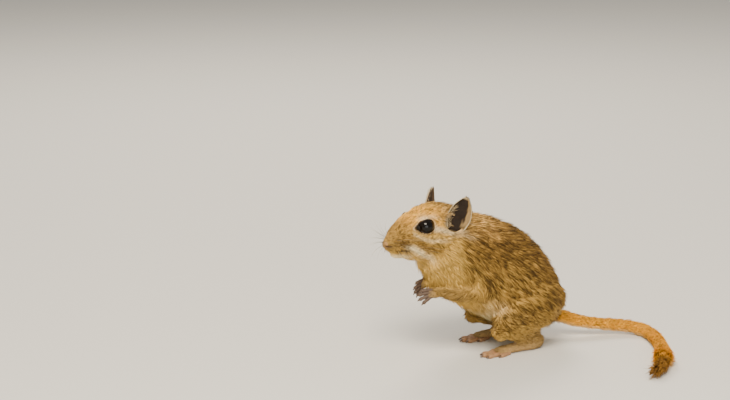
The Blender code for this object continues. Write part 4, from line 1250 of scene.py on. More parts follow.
def tuft_mesh(root, normal, ahead, length, half, lift, colours, sink=0.16):
    """Tufts of seven points: two three-cornered rings and a tip, along a line that rises and bends back.

    A tuft starts sunk in the skin and leaves it at the lift's angle. Its second half rises at under half of
    that. The colours are the root's, the middle's and the tip's.
    """
    across = unit(np.cross(ahead, normal))
    rise, low = np.radians(lift)[:, None], np.radians(lift * 0.38)[:, None]
    length, half = length[:, None], half[:, None]
    start = root - normal * sink
    bend = start + length * 0.48 * (np.cos(rise) * ahead + np.sin(rise) * normal)
    tip = bend + length * 0.52 * (np.cos(low) * ahead + np.sin(low) * normal)
    up = unit(np.cross(across, bend - start))
    rings = ((start, ((0.8, 0.0), (0.0, 0.55), (-0.8, 0.0))), (bend, ((1.0, 0.0), (0.0, 0.6), (-1.0, 0.0))))
    corners = [at + across * half * wide + up * half * high for at, ring in rings for wide, high in ring]
    points = np.stack(corners + [tip], 1)
    points[..., 2] = np.maximum(points[..., 2], 0.03)
    walls = [(0, 3, 4), (0, 4, 1), (1, 4, 5), (1, 5, 2), (2, 5, 3), (2, 3, 0)]
    shape = np.array(walls + [(3, 6, 4), (4, 6, 5), (5, 6, 3), (0, 1, 2)])
    faces = (np.arange(len(root)) * 7)[:, None, None] + shape
    tint = np.stack([colours[0]] * 3 + [colours[1]] * 3 + [colours[2]], 1)
    return points.reshape(-1, 3), faces.reshape(-1, 3), tint.reshape(-1, 3)


def tuft_map(share, turn):
    """The bake map of tufts: each is a small patch at its root's share of the part's length and its turn."""
    middle = np.stack([0.01 + 0.98 * share, 0.01 + 0.98 * (turn / (2 * math.pi) + 0.5)], -1)
    corners = np.array([(-1, -1), (0, -0.8), (1, -1), (-0.9, 0.2), (0, 0.3), (0.9, 0.2), (0, 1)]) * PATCH / 2
    return (middle[:, None] + corners[None]).reshape(-1, 2)


def strand_mesh(paths, radii, sides):
    """Thin closed tubes along many paths at once: circles of the given radii, and a point at the tip."""
    paths = np.asarray(paths, float)
    count, steps = paths.shape[:2]
    ahead = unit(np.gradient(paths, axis=1))
    sideways = unit(np.cross(ahead, UPRIGHT))
    upwards = np.cross(sideways, ahead)
    turn = full_turn(sides)[None, None, :, None]
    ring = np.cos(turn) * sideways[:, :-1, None] + np.sin(turn) * upwards[:, :-1, None]
    rings = paths[:, :-1, None] + ring * np.asarray(radii)[:, :-1, None, None]
    points = np.concatenate([rings.reshape(count, -1, 3), paths[:, :1], paths[:, -1:]], 1)
    _, shape = facing_out(points[0], ring_faces(steps - 1, sides))
    faces = (np.arange(count) * points.shape[1])[:, None, None] + shape
    return points.reshape(-1, 3), faces.reshape(-1, 3)


def skin_palette(settings):
    return {name: tuple(getattr(settings, name)) for name in TRAITS}


def roots_on(points, quads, density, draw):
    """Seeded places on the skin, as many on each face as its area and the coat's closeness ask for."""
    normals = point_normals(points, quads)
    tris = halved(quads)
    a, b, c = points[tris[:, 0]], points[tris[:, 1]], points[tris[:, 2]]
    area = np.linalg.norm(np.cross(b - a, c - a), axis=1) / 2
    wanted = area * density[tris].mean(1)
    count = np.floor(wanted + draw.random(len(tris))).astype(int)
    face = np.repeat(np.arange(len(tris)), count)
    u, v = draw.random(len(face)), draw.random(len(face))
    over = u + v > 1.0
    u, v = np.where(over, 1.0 - u, u)[:, None], np.where(over, 1.0 - v, v)[:, None]
    corner = tris[face]
    shares = ((0, 1 - u - v), (1, u), (2, v))
    place, normal = (sum(rows[corner[:, at]] * share for at, share in shares) for rows in (points, normals))
    return place, unit(normal)


def colour_setting(name, description, code):
    """A colour that the user can change, given by its sRGB hex code."""
    return bpy.props.FloatVectorProperty(
        name=name, description=description, default=linear(code), size=3, subtype="COLOR", min=0, max=1
    )


def share_setting(name, description, default, low, high):
    """A factor that the user can change between two bounds."""
    return bpy.props.FloatProperty(
        name=name, description=description, default=default, min=low, max=high, subtype="FACTOR"
    )


def measure_setting(name, description, default, kind, low, high):
    """A length, an angle or a power that the user can change between two bounds."""
    return bpy.props.FloatProperty(
        name=name, description=description, default=default, unit=kind, min=low, max=high
    )


def count_setting(name, description, default, high):
    """A whole number that the user can change."""
    return bpy.props.IntProperty(name=name, description=description, default=default, min=0, max=high)


# The pieces of the coat, and the parts of the body that each of them covers.
COAT_GROUPS = {
    "head": ["head"],
    "body": ["trunk"],
    "forelegs": [f"{stem}_{word}" for stem in ("upper_arm", "forearm", "hand") for _, word in SIDES],
    "hindlegs": [f"{stem}_{word}" for stem in ("haunch", "shank", "foot") for _, word in SIDES],
    "tail": ["tail"],
}


def tuft_colours(root, names, weight, found, lock, wisp, settings, draw):
    """Each tuft's colour at its root, its middle and its tip.

    The middle is the marking, times a tone that differs from lock to lock and along fine streaks. A tuft is
    ticked, which darkens its tip, where its streak and a draw together come under the part's chance.
    """
    size = len(root)
    palette = skin_palette(settings)
    main = marking(root, palette, names, weight, found)
    traits = marking(root, TRAITS, names, weight, found)
    face = weight[:, names.index("head")]
    body = 1.0 - face - weight[:, names.index("tail")]
    lie = head_ways([1.0, 0.0, -0.12]) * face[:, None]
    lie = lie + np.array([0.76, 0.0, -0.65]) * (1.001 - face)[:, None]
    streak = np.where(face > 0.5, streaks(root, lie, 0.55, 45), streaks(root, lie, 0.6, 46))
    broad = ripple(root, 4.2, 47)
    tone = 1.0 + draw.normal(0.0, 0.07, size) + 0.05 * ripple(root, 5.0, 21)
    uneven = (0.10 + 0.06 * face) * wisp + 0.08 * lock + (0.18 + 0.14 * face) * streak
    tone = tone + uneven * traits[:, 1]
    main = main * np.clip(tone, 0.4, 1.6)[:, None]
    chance = settings.ticking * (0.85 + 0.42 * body + 0.15 * broad) * traits[:, 0]
    ticked = 0.5 + 0.5 * (0.72 * streak + 0.28 * draw.uniform(-1.0, 1.0, size)) < chance
    main = mixed(main * 1.08, settings.tip, (0.46 + 0.14 * body) * ticked)
    base = mixed(settings.root, main, 0.35 + 0.3 * (1.0 - traits[:, 1]))
    light = np.clip(main * draw.uniform(1.0, 1.3, size)[:, None], 0.0, 0.9)
    return base, main, mixed(light, settings.tip, 0.75 * ticked)


class GerbilCoat(bpy.types.PropertyGroup):
    """The sizes and colours of the coat."""

    length: share_setting("Length", "Length of the hair as a share of a gerbil's own", 1.0, 0.3, 1.6)
    width: share_setting("Tuft width", "Width of a tuft as a share of its usual one", 1.0, 0.3, 3.0)
    lift: share_setting("Lift", "How far the hair stands off the skin, as a share", 1.0, 0.2, 2.5)
    density: share_setting("Closeness", "Tufts on a given area, as a share of the usual", 1.0, 0.05, 1.5)
    ticking: share_setting("Ticking", "Share of the tufts with a dark tip", 0.34, 0.0, 1.0)
    seed: count_setting("Seed", "Seed of the random draws", 5, 9999)
    gold: colour_setting("Gold", "Flanks and cheeks", "#b28d45")
    sand: colour_setting("Sand", "Forehead and brow", "#e2a743")
    cinnamon: colour_setting("Cinnamon", "Back and crown", "#977338")
    cream: colour_setting("Cream", "Jaw and belly", "#fee6b4")
    # Straw is the throat's and chest's golden cream, partly darkened as painted shade under the head.
    straw: colour_setting("Straw", "Throat and chest", "#cca553")
    finger: colour_setting("Finger", "Bare skin of the digits", "#57463a")
    pale: colour_setting("Pale", "Round the eyes and behind them", "#fbe3b8")
    umber: colour_setting("Umber", "Band below the cheek", "#5f3f18")
    paw: colour_setting("Paw", "Hands and feet", "#a88a58")
    tail: colour_setting("Tail", "Tail before its brush", "#dc9a24")
    brush: colour_setting("Brush", "Dark end of the tail", "#6f4f27")
    root: colour_setting("Root", "Slate base of the hair", "#4a3622")
    tip: colour_setting("Tip", "Dark tips", "#33210f")


class GerbilFace(bpy.types.PropertyGroup):
    """The sizes and colours of the eyes, the nose, the ears and the whiskers."""

    eye: colour_setting("Eye", "Ball of the eye", "#0c0a08")
    lid: colour_setting("Lid", "Rim of the lids", "#1f1610")
    lid_width: measure_setting("Lid width", "Radius of the lids' rim", 0.00019, "LENGTH", 0.0001, 0.001)
    nose: colour_setting("Nose", "Leather of the nose", "#9a7444")
    ear_rear: colour_setting("Ear's rear band", "Skin at the rear of the hollow", "#8f764e")
    ear: colour_setting("Ear", "Skin of the ears", "#56412d")
    # Dark skin low in the ear, deepened by painted shade.
    ear_depth: colour_setting("Ear depth", "Skin low in the ear", "#1e140b")
    whiskers: count_setting("Whiskers", "Whiskers on each side", 20, 20)
    whisker_length: measure_setting("Whisker length", "Length of the longest", 0.026, "LENGTH", 0.0, 0.05)
    seed: count_setting("Seed", "Seed of the random draws", 3, 9999)


class GerbilStage(bpy.types.PropertyGroup):
    """The studio: the camera, its lens, the lights and the floor."""

    lens: measure_setting("Lens", "Focal length", 100.0, "CAMERA", 10.0, 500.0)
    pitch: measure_setting("Pitch", "The camera's look down", math.radians(12.7), "ROTATION", -1.5, 1.5)
    turn: measure_setting("Turn", "The camera's turn", math.radians(-30.0), "ROTATION", -3.2, 3.2)
    floor: colour_setting("Floor", "Colour of the floor", "#d9d6cf")
    key: measure_setting("Key light", "Power of the key light", 15.0, "POWER", 0.0, 1000.0)
    fill: measure_setting("Fill light", "Power of the fill light", 5.6, "POWER", 0.0, 1000.0)
    sky: share_setting("Room light", "Strength of the room's own light", 0.55, 0.0, 5.0)


class GERBIL_OT_skin(bpy.types.Operator):
    """Makes the one skin that stands for the flesh of the head, body, limbs and tail"""

    bl_idname = "gerbil.skin"
    bl_label = "Skin"

    def execute(self, context):
        points, quads = make_skin_shape()
        if len(quads) * 2 > SKIN_TRIANGLES:
            raise RuntimeError(f"the skin has {len(quads) * 2} triangles")
        names, weight, found = body_map(points)
        palette = skin_palette(context.scene.gerbil_coat)
        # The skin takes the coat's colour darkened to 0.72, as painted shade under the fur.
        colour = marking(points, palette, names, weight, found) * 0.72
        stems = np.array([stem_of(name) for name in names])
        hand, foot = (weight @ (stems == part) for part in ("hand", "foot"))
        colour = mixed(mixed(colour, palette["finger"], 0.8 * hand), linear("#a8835a"), 0.6 * foot)
        mouth, nostril = face_grooves(points)
        # Painted shade along the mouth and the cleft and in the nostrils.
        colour = mixed(colour, linear("#3a2415"), np.clip(0.75 * mouth + 0.9 * nostril, 0, 1))
        colour = mixed(colour, linear("#0f0906"), smooth_step(1.2, 1.08, opening_share(points)))
        for side, _ in SIDES:
            shell = np.linalg.norm(hollow_place(points, side), axis=1)
            within = smooth_step(1.12, 0.92, shell) * near_head(points, 6.0, 24.0)
            # Dark skin in the hollow before each ear, deepened by painted shade.
            colour = mixed(colour, linear("#20150c"), 0.9 * within)
            # Painted shade in the notch below each ear, near black.
            notch = band_at(body_to_head(points), NOTCH, 1.0) * near_head(points, 6.0, 24.0)
            colour = mixed(colour, linear("#1c120a"), 0.9 * smooth_step(0.3, 0.6, notch))
        finish = finish_named("furred skin", skin_finish, 0.6, 2600.0, 0.00005, 0.0)
        settle(put_mesh("skin", points, quads, finish, colour), "agouti_coat", *FLESH_NODES)
        return {"FINISHED"}


class GERBIL_OT_coat(bpy.types.Operator):
    """Grows the short coat over the skin, in tufts that follow its lie"""

    bl_idname = "gerbil.coat"
    bl_label = "Coat"

    def execute(self, context):
        settings = context.scene.gerbil_coat
        draw = np.random.default_rng(settings.seed)
        points, quads = read_mesh(bpy.data.objects["skin"].data)
        points = points / MM - SHIFT
        names, weight, found = body_map(points)
        tail_share = found[names.index("tail")][1]
        density = coat_sizes(points, names, weight, tail_share, settings)[3]
        root, normal = roots_on(points, quads, density, draw)
        names, weight, found = body_map(root)
        keep = ~bare_places(root, weight, names)
        root, normal, weight = root[keep], normal[keep], weight[keep]
        found = [tuple(row[keep] for row in rows) for rows in found]
        tail_share = found[names.index("tail")][1]
        length, half, lift, _ = coat_sizes(root, names, weight, tail_share, settings)
        flow = flow_over(root, normal, names, weight, found)
        size = len(root)
        lock, wisp = clumps(root, 1.25, 41), clumps(root, 0.55, 42)
        stray = draw.normal(0.0, 0.09, size) + 0.13 * lock + 0.07 * wisp
        flow = unit(flow + unit(np.cross(normal, flow)) * stray[:, None])
        length = length * draw.uniform(0.75, 1.2, size) * (1.0 + 0.10 * lock)
        half = half * draw.uniform(0.75, 1.25, size)
        lift = lift * draw.uniform(0.7, 1.3, size) * (1.0 + 0.25 * lock + 0.2 * wisp)
        colours = tuft_colours(root, names, weight, found, lock, wisp, settings, draw)
        belongs = weight.argmax(1)
        finish = coat_finish()
        for label, members in COAT_GROUPS.items():
            row = np.nonzero(np.isin(belongs, [names.index(name) for name in members]))[0]
            share, turn = np.empty(size), np.empty(size)
            for place, name in enumerate(members):
                own = belongs == names.index(name)
                measures = found[names.index(name)]
                share[own] = (place + measures[1][own]) / len(members)
                turn[own] = measures[2][own]
            row = row[np.argsort(share[row], kind="stable")]
            share = share + draw.uniform(-0.5, 0.5, size) * (1.0 / 60 / len(members))
            for number, piece in enumerate(np.array_split(row, max(1, -(-len(row) // PIECE_TUFTS)))):
                shape = (part[piece] for part in (root, normal, flow, length, half, lift))
                made = tuft_mesh(*shape, [part[piece] for part in colours])
                low, high = share[piece].min(), share[piece].max()
                uvs = tuft_map((share[piece] - low) / max(high - low, 1e-6), turn[piece])
                slot = "tuft_coat" if label == "tail" else "agouti_coat"
                settle(put_mesh(f"coat_{label}_{number + 1}", made[0], made[1], finish, made[2], uvs), slot)
        return {"FINISHED"}


def eye_surface(side):
    """A ball whose radius grows by a bell of the angle from its aim, so that the cornea stands proud."""
    middle, aim, forward, upward = eye_frame(side)
    low = np.linspace(0.01, math.pi - 0.02, 48)[:, None]
    around = full_turn(64)[None]
    radius = EYE_RADIUS * (1.0 + 0.025 * bell(low, 0.75)) + 0 * around
    ball = (
        (radius * np.cos(low))[..., None] * aim
        + (radius * np.sin(low) * np.cos(around))[..., None] * forward
        + (radius * np.sin(low) * np.sin(around))[..., None] * upward
    )
    return closed_surface(head_to_body(middle + ball)), np.append(np.repeat(low[:, 0], 64), [0.0, math.pi])


def lid_surface(side, width):
    """The lids' rim: a small ellipse carried round the opening on the ball, fuller above than below."""
    middle, aim, forward, upward = eye_frame(side)
    turn = full_turn(96)
    sine = np.sin(turn)
    reach = 1.04 * opening_reach(np.arctan2(sine, np.cos(turn)))
    edge = (reach * np.cos(turn))[:, None] * forward + (reach * sine + OPENING_RISE)[:, None] * upward
    away = np.linalg.norm(edge, axis=1)
    height = np.sqrt(np.clip((EYE_RADIUS + 0.08) ** 2 - away**2, 0.5, None))
    line = middle + edge + height[:, None] * aim
    outward = unit(edge)
    small = full_turn(12)
    thick = width * (1.0 + 0.25 * sine)
    ring = (
        np.cos(small)[None, :, None] * outward[:, None] * 1.25 * thick[:, None, None]
        + np.sin(small)[None, :, None] * aim * 0.9 * thick[:, None, None]
    )
    rings = head_to_body(line[:, None] + ring)
    index = np.arange(96 * 12).reshape(96, 12)
    right, down = np.roll(index, -1, axis=1), np.roll(index, -1, axis=0)
    both = np.roll(down, -1, axis=1)
    faces = np.stack([index, right, both, down], -1).reshape(-1, 4)
    return facing_out(rings.reshape(-1, 3), halved(faces))


class GERBIL_OT_eyes(bpy.types.Operator):
    """Makes the eyes and the rims of their lids"""

    bl_idname = "gerbil.eyes"
    bl_label = "Eyes"

    def execute(self, context):
        settings = context.scene.gerbil_face
        wet = finish_named("wet dark eye", eye_finish)
        rim = finish_named("lid skin", skin_finish, 0.4, 5200.0, 0.00003, 0.1)
        for side, word in SIDES:
            (points, faces), low = eye_surface(side)
            iris = smooth_step(0.5, 0.9, low)
            colour = mixed(settings.eye, linear("#150e09"), 0.8 * iris)
            settle(put_mesh(f"eyeball_{word}", points, faces, wet, colour), "eye_gloss", f"eye_{word}")
            points, faces = lid_surface(side, settings.lid_width / MM)
            colour = np.broadcast_to(settings.lid, points.shape)
            settle(put_mesh(f"lids_{word}", points, faces, rim, colour), "bare_skin")
        return {"FINISHED"}


def ear_grid(side, rows, columns):
    """The ear's middle surface: v runs up the leaf and u across it.

    The width is a half sine that closes in a point, the two edges are curled by a sine of u, and they stand
    forward by the power 2.2 of u. The last value is how far each place is from the rim.
    """
    root, tip = on_side(EAR_ROOT, -side), on_side(EAR_TIP, -side)
    upward = unit(tip - root)
    opens = np.array([-math.cos(EAR_OPENS), side * math.sin(EAR_OPENS), 0.12])
    opens = unit(opens - upward * (opens @ upward))
    across = np.cross(upward, opens)
    v = np.linspace(-0.12, 0.999, rows)[:, None]
    u = np.linspace(-1.0, 1.0, columns)[None, :]
    share = np.clip(v, 0.0, 1.0)
    width = EAR_HALF_WIDTH * (0.66 + 0.34 * np.sin(math.pi * np.clip(share / 0.9, 0, 1)))
    width = width * np.clip(1.0 - share**5.0, 0.0005, 1.0) ** 0.5
    cup = EAR_CUP * (1.0 - 0.75 * share**1.6)
    points = (
        root
        + (v * np.linalg.norm(tip - root))[..., None] * upward
        + (width * np.sin(u * EAR_CURL) / math.sin(EAR_CURL))[..., None] * across
        + (cup * (np.abs(u) ** 2.2 - 0.6))[..., None] * opens
    )
    inner = np.minimum(1.0 - np.abs(u), (1.0 - share) * 1.6) + 0 * v
    return points, inner, (v + 0 * u), (u + 0 * v), opens, across, upward


def front_sign(across):
    """1 where u grows towards the ear's front edge and -1 where it grows towards the rear one."""
    return 1.0 if across[0] < 0 else -1.0


def ear_surface(side):
    """The ear's shell: its middle surface moved out both ways, thick at the root and thin at the rim."""
    rows, columns = 56, 48
    size = rows * columns
    points, inner, v, u, opens, across, _ = ear_grid(side, rows, columns)
    normal = unit(np.cross(np.gradient(points, axis=1), np.gradient(points, axis=0)))
    normal *= np.sign(normal @ opens)[..., None]
    thick = 0.16 + 0.34 * smooth_step(0.0, 0.35, inner) + 0.25 * smooth_step(0.4, 0.0, v)
    ridge = 0.10 * np.sin(v * 15.0 + 1.5 * u) * smooth_step(0.15, 0.4, inner) * smooth_step(0.9, 0.3, v)
    front = points + normal * (thick / 2 + ridge)[..., None]
    rear = points - normal * (thick / 2)[..., None]
    index = np.arange(size).reshape(rows, columns)
    quads = np.stack([index[:-1, :-1], index[:-1, 1:], index[1:, 1:], index[1:, :-1]], -1).reshape(-1, 4)
    rim = np.concatenate([index[0], index[1:, -1], index[-1, -2::-1], index[-2:0:-1, 0]])
    after = np.roll(rim, -1)
    edge = np.stack([rim, rim + size, after + size, after], -1)
    quads = np.concatenate([quads, quads[:, ::-1] + size, edge])
    body = head_to_body(np.concatenate([front.reshape(-1, 3), rear.reshape(-1, 3)]))
    measures = [np.tile(part.ravel(), 2) for part in (inner, v, u * front_sign(across))]
    return facing_out(body, halved(quads)), *measures, np.repeat([1, 0], size)


class GERBIL_OT_ears(bpy.types.Operator):
    """Makes the ears' shells and the short pale hair on their rims"""

    bl_idname = "gerbil.ears"
    bl_label = "Ears"

    def execute(self, context):
        settings = context.scene.gerbil_face
        finish = finish_named("ear skin", skin_finish, 0.75, 2200.0, 0.00004, 0.08)
        draw = np.random.default_rng(settings.seed)
        for side, word in SIDES:
            (points, faces), inner, v, ahead, front = ear_surface(side)
            hollow = smooth_step(-0.54, -0.28, ahead + 0.10 * ripple(points, 2.5, 51))
            colour = mixed(settings.ear, settings.ear_rear, front * (1.0 - hollow))
            # Dark skin in the ear's hollow and low on its front, deepened by painted shade.
            colour = mixed(colour, settings.ear_depth, front * np.maximum(hollow, smooth_step(0.25, 0.05, v)))
            colour = mixed(colour, settings.ear_depth, 0.8 * (1 - front) * smooth_step(0.25, 0.55, ahead))
            rim = smooth_step(0.05 + 0.08 * front, 0.01, inner)
            colour = mixed(colour, linear("#d9c298"), 0.85 * rim)
            shell = put_mesh(f"ear_shell_{word}", points, faces, finish, colour)
            settle(shell, "ear_skin", f"ear_{word}")
            self.grow_hair(side, word, draw)
        return {"FINISHED"}

    def grow_hair(self, side, word, draw):
        """Short down on the back, the rim and the hollow, and a longer fringe on the front edge."""
        points, inner, v, u, opens, across, upward = ear_grid(side, 120, 90)
        du, dv = np.gradient(points, axis=1), np.gradient(points, axis=0)
        normal = unit(np.cross(du, dv))
        normal *= np.sign(normal @ opens)[..., None]
        cell = np.linalg.norm(np.cross(du, dv), axis=-1).ravel()
        chance = cell / cell.sum()
        inner, high, u, du = inner.ravel(), v.ravel(), u.ravel(), du.reshape(-1, 3)
        front = u * front_sign(across)
        grows = {
            "back": (high > 0.05) * (1.0 - 0.96 * smooth_step(0.15, 0.45, front)),
            "rim": (inner < np.where(front > 0, 0.03, 0.10)) & (high > 0.1),
            "inside": (front < -0.50) & (inner > 0.04) & (high > 0.1),
            "hollow": (front > -0.5) & (inner > 0.08) & (high > 0.15),
            "fringe": (front > 0.66) & (high > -0.1) & (high < 0.62),
        }
        made = []
        for kind, (count, length, half, lift, code) in EAR_DOWN.items():
            weight = chance * grows[kind]
            pick = draw.choice(len(weight), count, p=weight / weight.sum())
            root, out = points.reshape(-1, 3)[pick], normal.reshape(-1, 3)[pick]
            root = root + du[pick] * draw.uniform(-0.5, 0.5, count)[:, None]
            outwards = unit(across * np.sign(u[pick])[:, None])
            ways = {
                "back": upward + 0.25 * outwards,
                "rim": outwards + 0.9 * upward,
                "inside": upward + 0.2 * outwards,
                "hollow": upward + 0.2 * outwards,
                "fringe": -outwards * 0.75 + 0.8 * upward,
            }
            if kind == "back":
                out, root = -out, root - out * 0.1
            ahead = unit(unit(ways[kind]) + draw.normal(0.0, 0.16, (count, 3)))
            ahead = unit(ahead - out * dots(ahead, out)[:, None])
            shade = np.array(linear(code)) * draw.uniform(0.7, 1.2, (count, 1))
            if kind == "back":
                shade = mixed(shade, linear("#e0cba2"), 0.9 * smooth_step(0.35, 0.7, front[pick]))
            surface = tuft_mesh(
                head_to_body(root),
                head_ways(out),
                head_ways(ahead),
                length * draw.uniform(0.7, 1.25, count),
                np.full(count, half),
                lift * draw.uniform(0.6, 1.4, count),
                (shade * 0.75, shade, shade),
                0.05,
            )
            made.append((*surface, high[pick], u[pick]))
        points, faces = joined([row[:2] for row in made])
        colour, share, turn = (np.concatenate([row[at] for row in made]) for at in (2, 3, 4))
        uvs = tuft_map(np.clip(share, 0, 1), turn * math.pi * 0.98)
        settle(put_mesh(f"coat_ear_{word}", points, faces, coat_finish(), colour, uvs), "ear_skin")


class GERBIL_OT_nose(bpy.types.Operator):
    """Makes the nose leather with its comma-shaped nostrils"""

    bl_idname = "gerbil.nose"
    bl_label = "Nose"

    def execute(self, context):
        settings = context.scene.gerbil_face
        ball = np.stack(unit_ball(70, 90, 0.03), -1)
        place = NOSE_CENTRE + ball * (NOSE_RADII - 0.12)
        rings = place.reshape(-1, 3)
        mouth = bell(distance_to_path(rings, CLEFT_PATH), 0.32)
        nostril = np.zeros(len(rings))
        for side, _ in SIDES:
            away = distance_to_path(rings, on_side(NOSTRIL_PATH, -side))
            nostril = np.maximum(nostril, bell(away, 0.62))
        depth = 0.6 * nostril + 0.25 * mouth
        rings = rings - unit(ball.reshape(-1, 3)) * depth[:, None]
        points, faces = closed_surface(head_to_body(rings).reshape(70, 90, 3))
        # Painted shade in the nostrils and along the cleft.
        dark = np.append(np.clip(1.1 * nostril + 0.4 * mouth, 0, 1), [0.0, 0.0])
        colour = mixed(settings.nose, linear("#2e1c10"), dark)
        finish = finish_named("nose leather", skin_finish, 0.5, 4200.0, 0.00005, 0.0)
        settle(put_mesh("nose_leather", points, faces, finish, colour), "bare_skin")
        return {"FINISHED"}


def digit_surface(path, radius):
    """A finger or toe: a tube with a bell for the knuckle at 0.45 and one for the pad at 0.9 of it."""
    share = np.linspace(0.0, 1.0, 16)
    line = through(np.linspace(0.0, 1.0, len(path)), path, share)
    swell = 0.90 + 0.14 * bell(share - 0.45, 0.13) + 0.16 * bell(share - 0.9, 0.14)
    return tube(round_rows(line, radius * 1.08 * swell), 18, 40, 0.9)


class GERBIL_OT_claws(bpy.types.Operator):
    """Makes the fingers, toes and claws"""

    bl_idname = "gerbil.claws"
    bl_label = "Digits and claws"

    def execute(self, context):
        paths, radii, flesh, tints = [], [], [], []
        finger = context.scene.gerbil_coat.finger
        for side, _ in SIDES:
            for path, radius, claw in digits(side):
                points, faces = digit_surface(path, radius)
                points[:, 2] = np.maximum(points[:, 2], 0.02)
                flesh.append((points, faces))
                tint = finger if radius == FINGER_RADIUS else linear("#987452")
                tints.append(np.broadcast_to(tint, points.shape))
                ahead = unit(path[-1] - path[-2])
                steps = np.linspace(-0.3, 1.0, 14)
                drop = 0.34 * claw * np.clip(steps, 0, 1) ** 2
                hook = path[-1] + ahead * (claw * steps)[:, None] - UPRIGHT * drop[:, None]
                hook[:, 2] = np.maximum(hook[:, 2], 0.25)
                hook = hook + UPRIGHT * (0.25 * radius)
                paths.append(hook)
                taper = np.clip(1.0 - np.clip(steps, 0, 1) ** 1.6, 0.0, 1.0)
                radii.append(radius * 0.56 * np.sqrt(taper) + 0.02)
        points, faces = strand_mesh(np.array(paths), np.array(radii), 12)
        settle(put_mesh("claws", points, faces, finish_named("claw horn", claw_finish)), "bare_skin")
        finish = finish_named("paw skin", skin_finish, 0.5, 2600.0, 0.00006, 0.05)
        settle(put_mesh("digits", *joined(flesh), finish, np.concatenate(tints)), "bare_skin")
        return {"FINISHED"}


class GERBIL_OT_whiskers(bpy.types.Operator):
    """Makes the whiskers of the muzzle"""

    bl_idname = "gerbil.whiskers"
    bl_label = "Whiskers"

    def execute(self, context):
        settings = context.scene.gerbil_face
        draw = np.random.default_rng(settings.seed)
        paths, radii = [], []
        for side, _ in SIDES:
            root, row, column = (part[: settings.whiskers] for part in whisker_roots(side))
            root = root * np.array([1.0, 0.95, 1.0])
            x = root[:, 0]
            share = column / max(column.max(), 1)
            length = settings.whisker_length / MM * (0.5 + 0.5 * share) * draw.uniform(0.8, 1.0, len(x))
            rise = 0.30 - 0.26 * row + draw.normal(0, 0.05, len(x))
            way = unit(np.stack([-0.35 + 0.75 * share, np.full(len(x), side), rise], -1))
            steps = np.linspace(0.0, 1.0, 16)[None, :, None]
            bend = np.array([0.30, 0.0, -0.16])
            path = root[:, None] + way[:, None] * length[:, None, None] * steps
            path = path + bend * length[:, None, None] * steps**2
            paths.append(head_to_body(path))
            radii.append(np.repeat(0.06 * (1.0 - 0.85 * steps[..., 0]), len(x), axis=0))
            root = draw.uniform([[-12.6], [0.0], [-9.4]], [[-6.2], [1.0], [-8.2]], (3, BRISTLES)).T
            root[:, 1] = side * np.interp(root[:, 0], [-13.0, -11.4, -9.4, -6.2], [3.0, 4.1, 5.6, 6.9])
            forth, out = draw.uniform([[-0.35], [0.25]], [[0.35], [0.6]], (2, BRISTLES))
            way = unit(np.stack([forth, side * out, np.full(BRISTLES, -1.0)], -1))
            length = draw.uniform(2.6, 4.6, BRISTLES)[:, None, None]
            path = root[:, None] + way[:, None] * length * steps
            path = path + np.array([0.18, 0.0, 0.0]) * length * steps**2
            paths.append(head_to_body(path))
            radii.append(np.repeat(0.08 * (1.0 - 0.8 * steps[..., 0]), BRISTLES, axis=0))
        points, faces = strand_mesh(np.concatenate(paths), np.concatenate(radii), 6)
        steps = np.tile(np.append(np.repeat(np.linspace(0, 1, 15), 6), [0.0, 1.0]), len(points) // 92)
        colour = mixed(linear("#3a2b1c"), linear("#b39c74"), smooth_step(0.15, 0.8, steps))
        finish = finish_named("whisker hair", hair_finish, 0.35, 0.0)
        settle(put_mesh("whiskers", points, faces, finish, colour), "agouti_coat")
        return {"FINISHED"}


class GERBIL_OT_brush(bpy.types.Operator):
    """Makes the dark brush at the tail's end"""

    bl_idname = "gerbil.brush"
    bl_label = "Tail brush"

    def execute(self, context):
        settings = context.scene.gerbil_coat
        draw = np.random.default_rng(settings.seed + 1)
        whole = np.concatenate([TAIL[-3:-1], BRUSH])
        count, steps = BRUSH_HAIRS, 6
        start = draw.uniform(0.0, 0.72, count)
        end = np.minimum(start + draw.uniform(0.2, 0.42, count) * (1.0 - 0.25 * start), 1.0)
        share = start[:, None] + (end - start)[:, None] * np.linspace(0.0, 1.0, steps)[None]
        read = along_path(whole, share.ravel())
        centre, radius = read[:, :3], read[:, 3]
        before, after = (along_path(whole, np.clip(share.ravel() + step, 0, 1)) for step in (-0.01, 0.01))
        ahead = unit(after[:, :3] - before[:, :3])
        sideways = unit(np.cross(ahead, UPRIGHT))
        upwards = np.cross(sideways, ahead)
        turn = np.repeat(draw.uniform(0.0, 2 * math.pi, count), steps)
        depth = np.repeat(draw.uniform(0.55, 1.08, count), steps)
        stand = radius * depth * np.tile(np.linspace(0.45, 1.0, steps) ** 0.7, count)
        out = np.cos(turn)[:, None] * sideways + np.sin(turn)[:, None] * upwards
        path = (centre + out * stand[:, None] + draw.normal(0.0, 0.05, centre.shape)).reshape(count, steps, 3)
        path[..., 2] = np.maximum(path[..., 2], 0.12)
        radii = 0.13 * np.array([0.8, 1.0, 1.0, 0.85, 0.6, 0.1])[None] * draw.uniform(0.7, 1.3, (count, 1))
        points, faces = strand_mesh(path, radii, 3)
        dark = np.array(settings.brush) * draw.uniform(0.5, 1.5, (count, 1))
        warm = np.array(settings.tail) * draw.uniform(0.7, 1.1, (count, 1))
        outer = out.reshape(count, steps, 3)[:, 0, 0]
        share_dark = smooth_step(0.05, 0.5, start + draw.normal(0, 0.08, count)) * (0.92 + 0.08 * outer)
        tint = mixed(warm, dark, share_dark)
        per = points.shape[0] // count
        colour = np.repeat(tint, per, axis=0)
        about = np.repeat(turn.reshape(count, steps)[:, 0] - math.pi, per) / (2 * math.pi) + 0.5
        uvs = np.stack([0.02 + 0.96 * np.repeat(start / 0.72, per), 0.02 + 0.96 * about], -1)
        uvs += np.tile(np.random.default_rng(1).uniform(-PATCH / 2, PATCH / 2, (per, 2)), (count, 1))
        piece = put_mesh("coat_brush", points, faces, coat_finish(), colour, uvs)
        settle(piece, "tuft_coat", "tail_tuft")
        return {"FINISHED"}


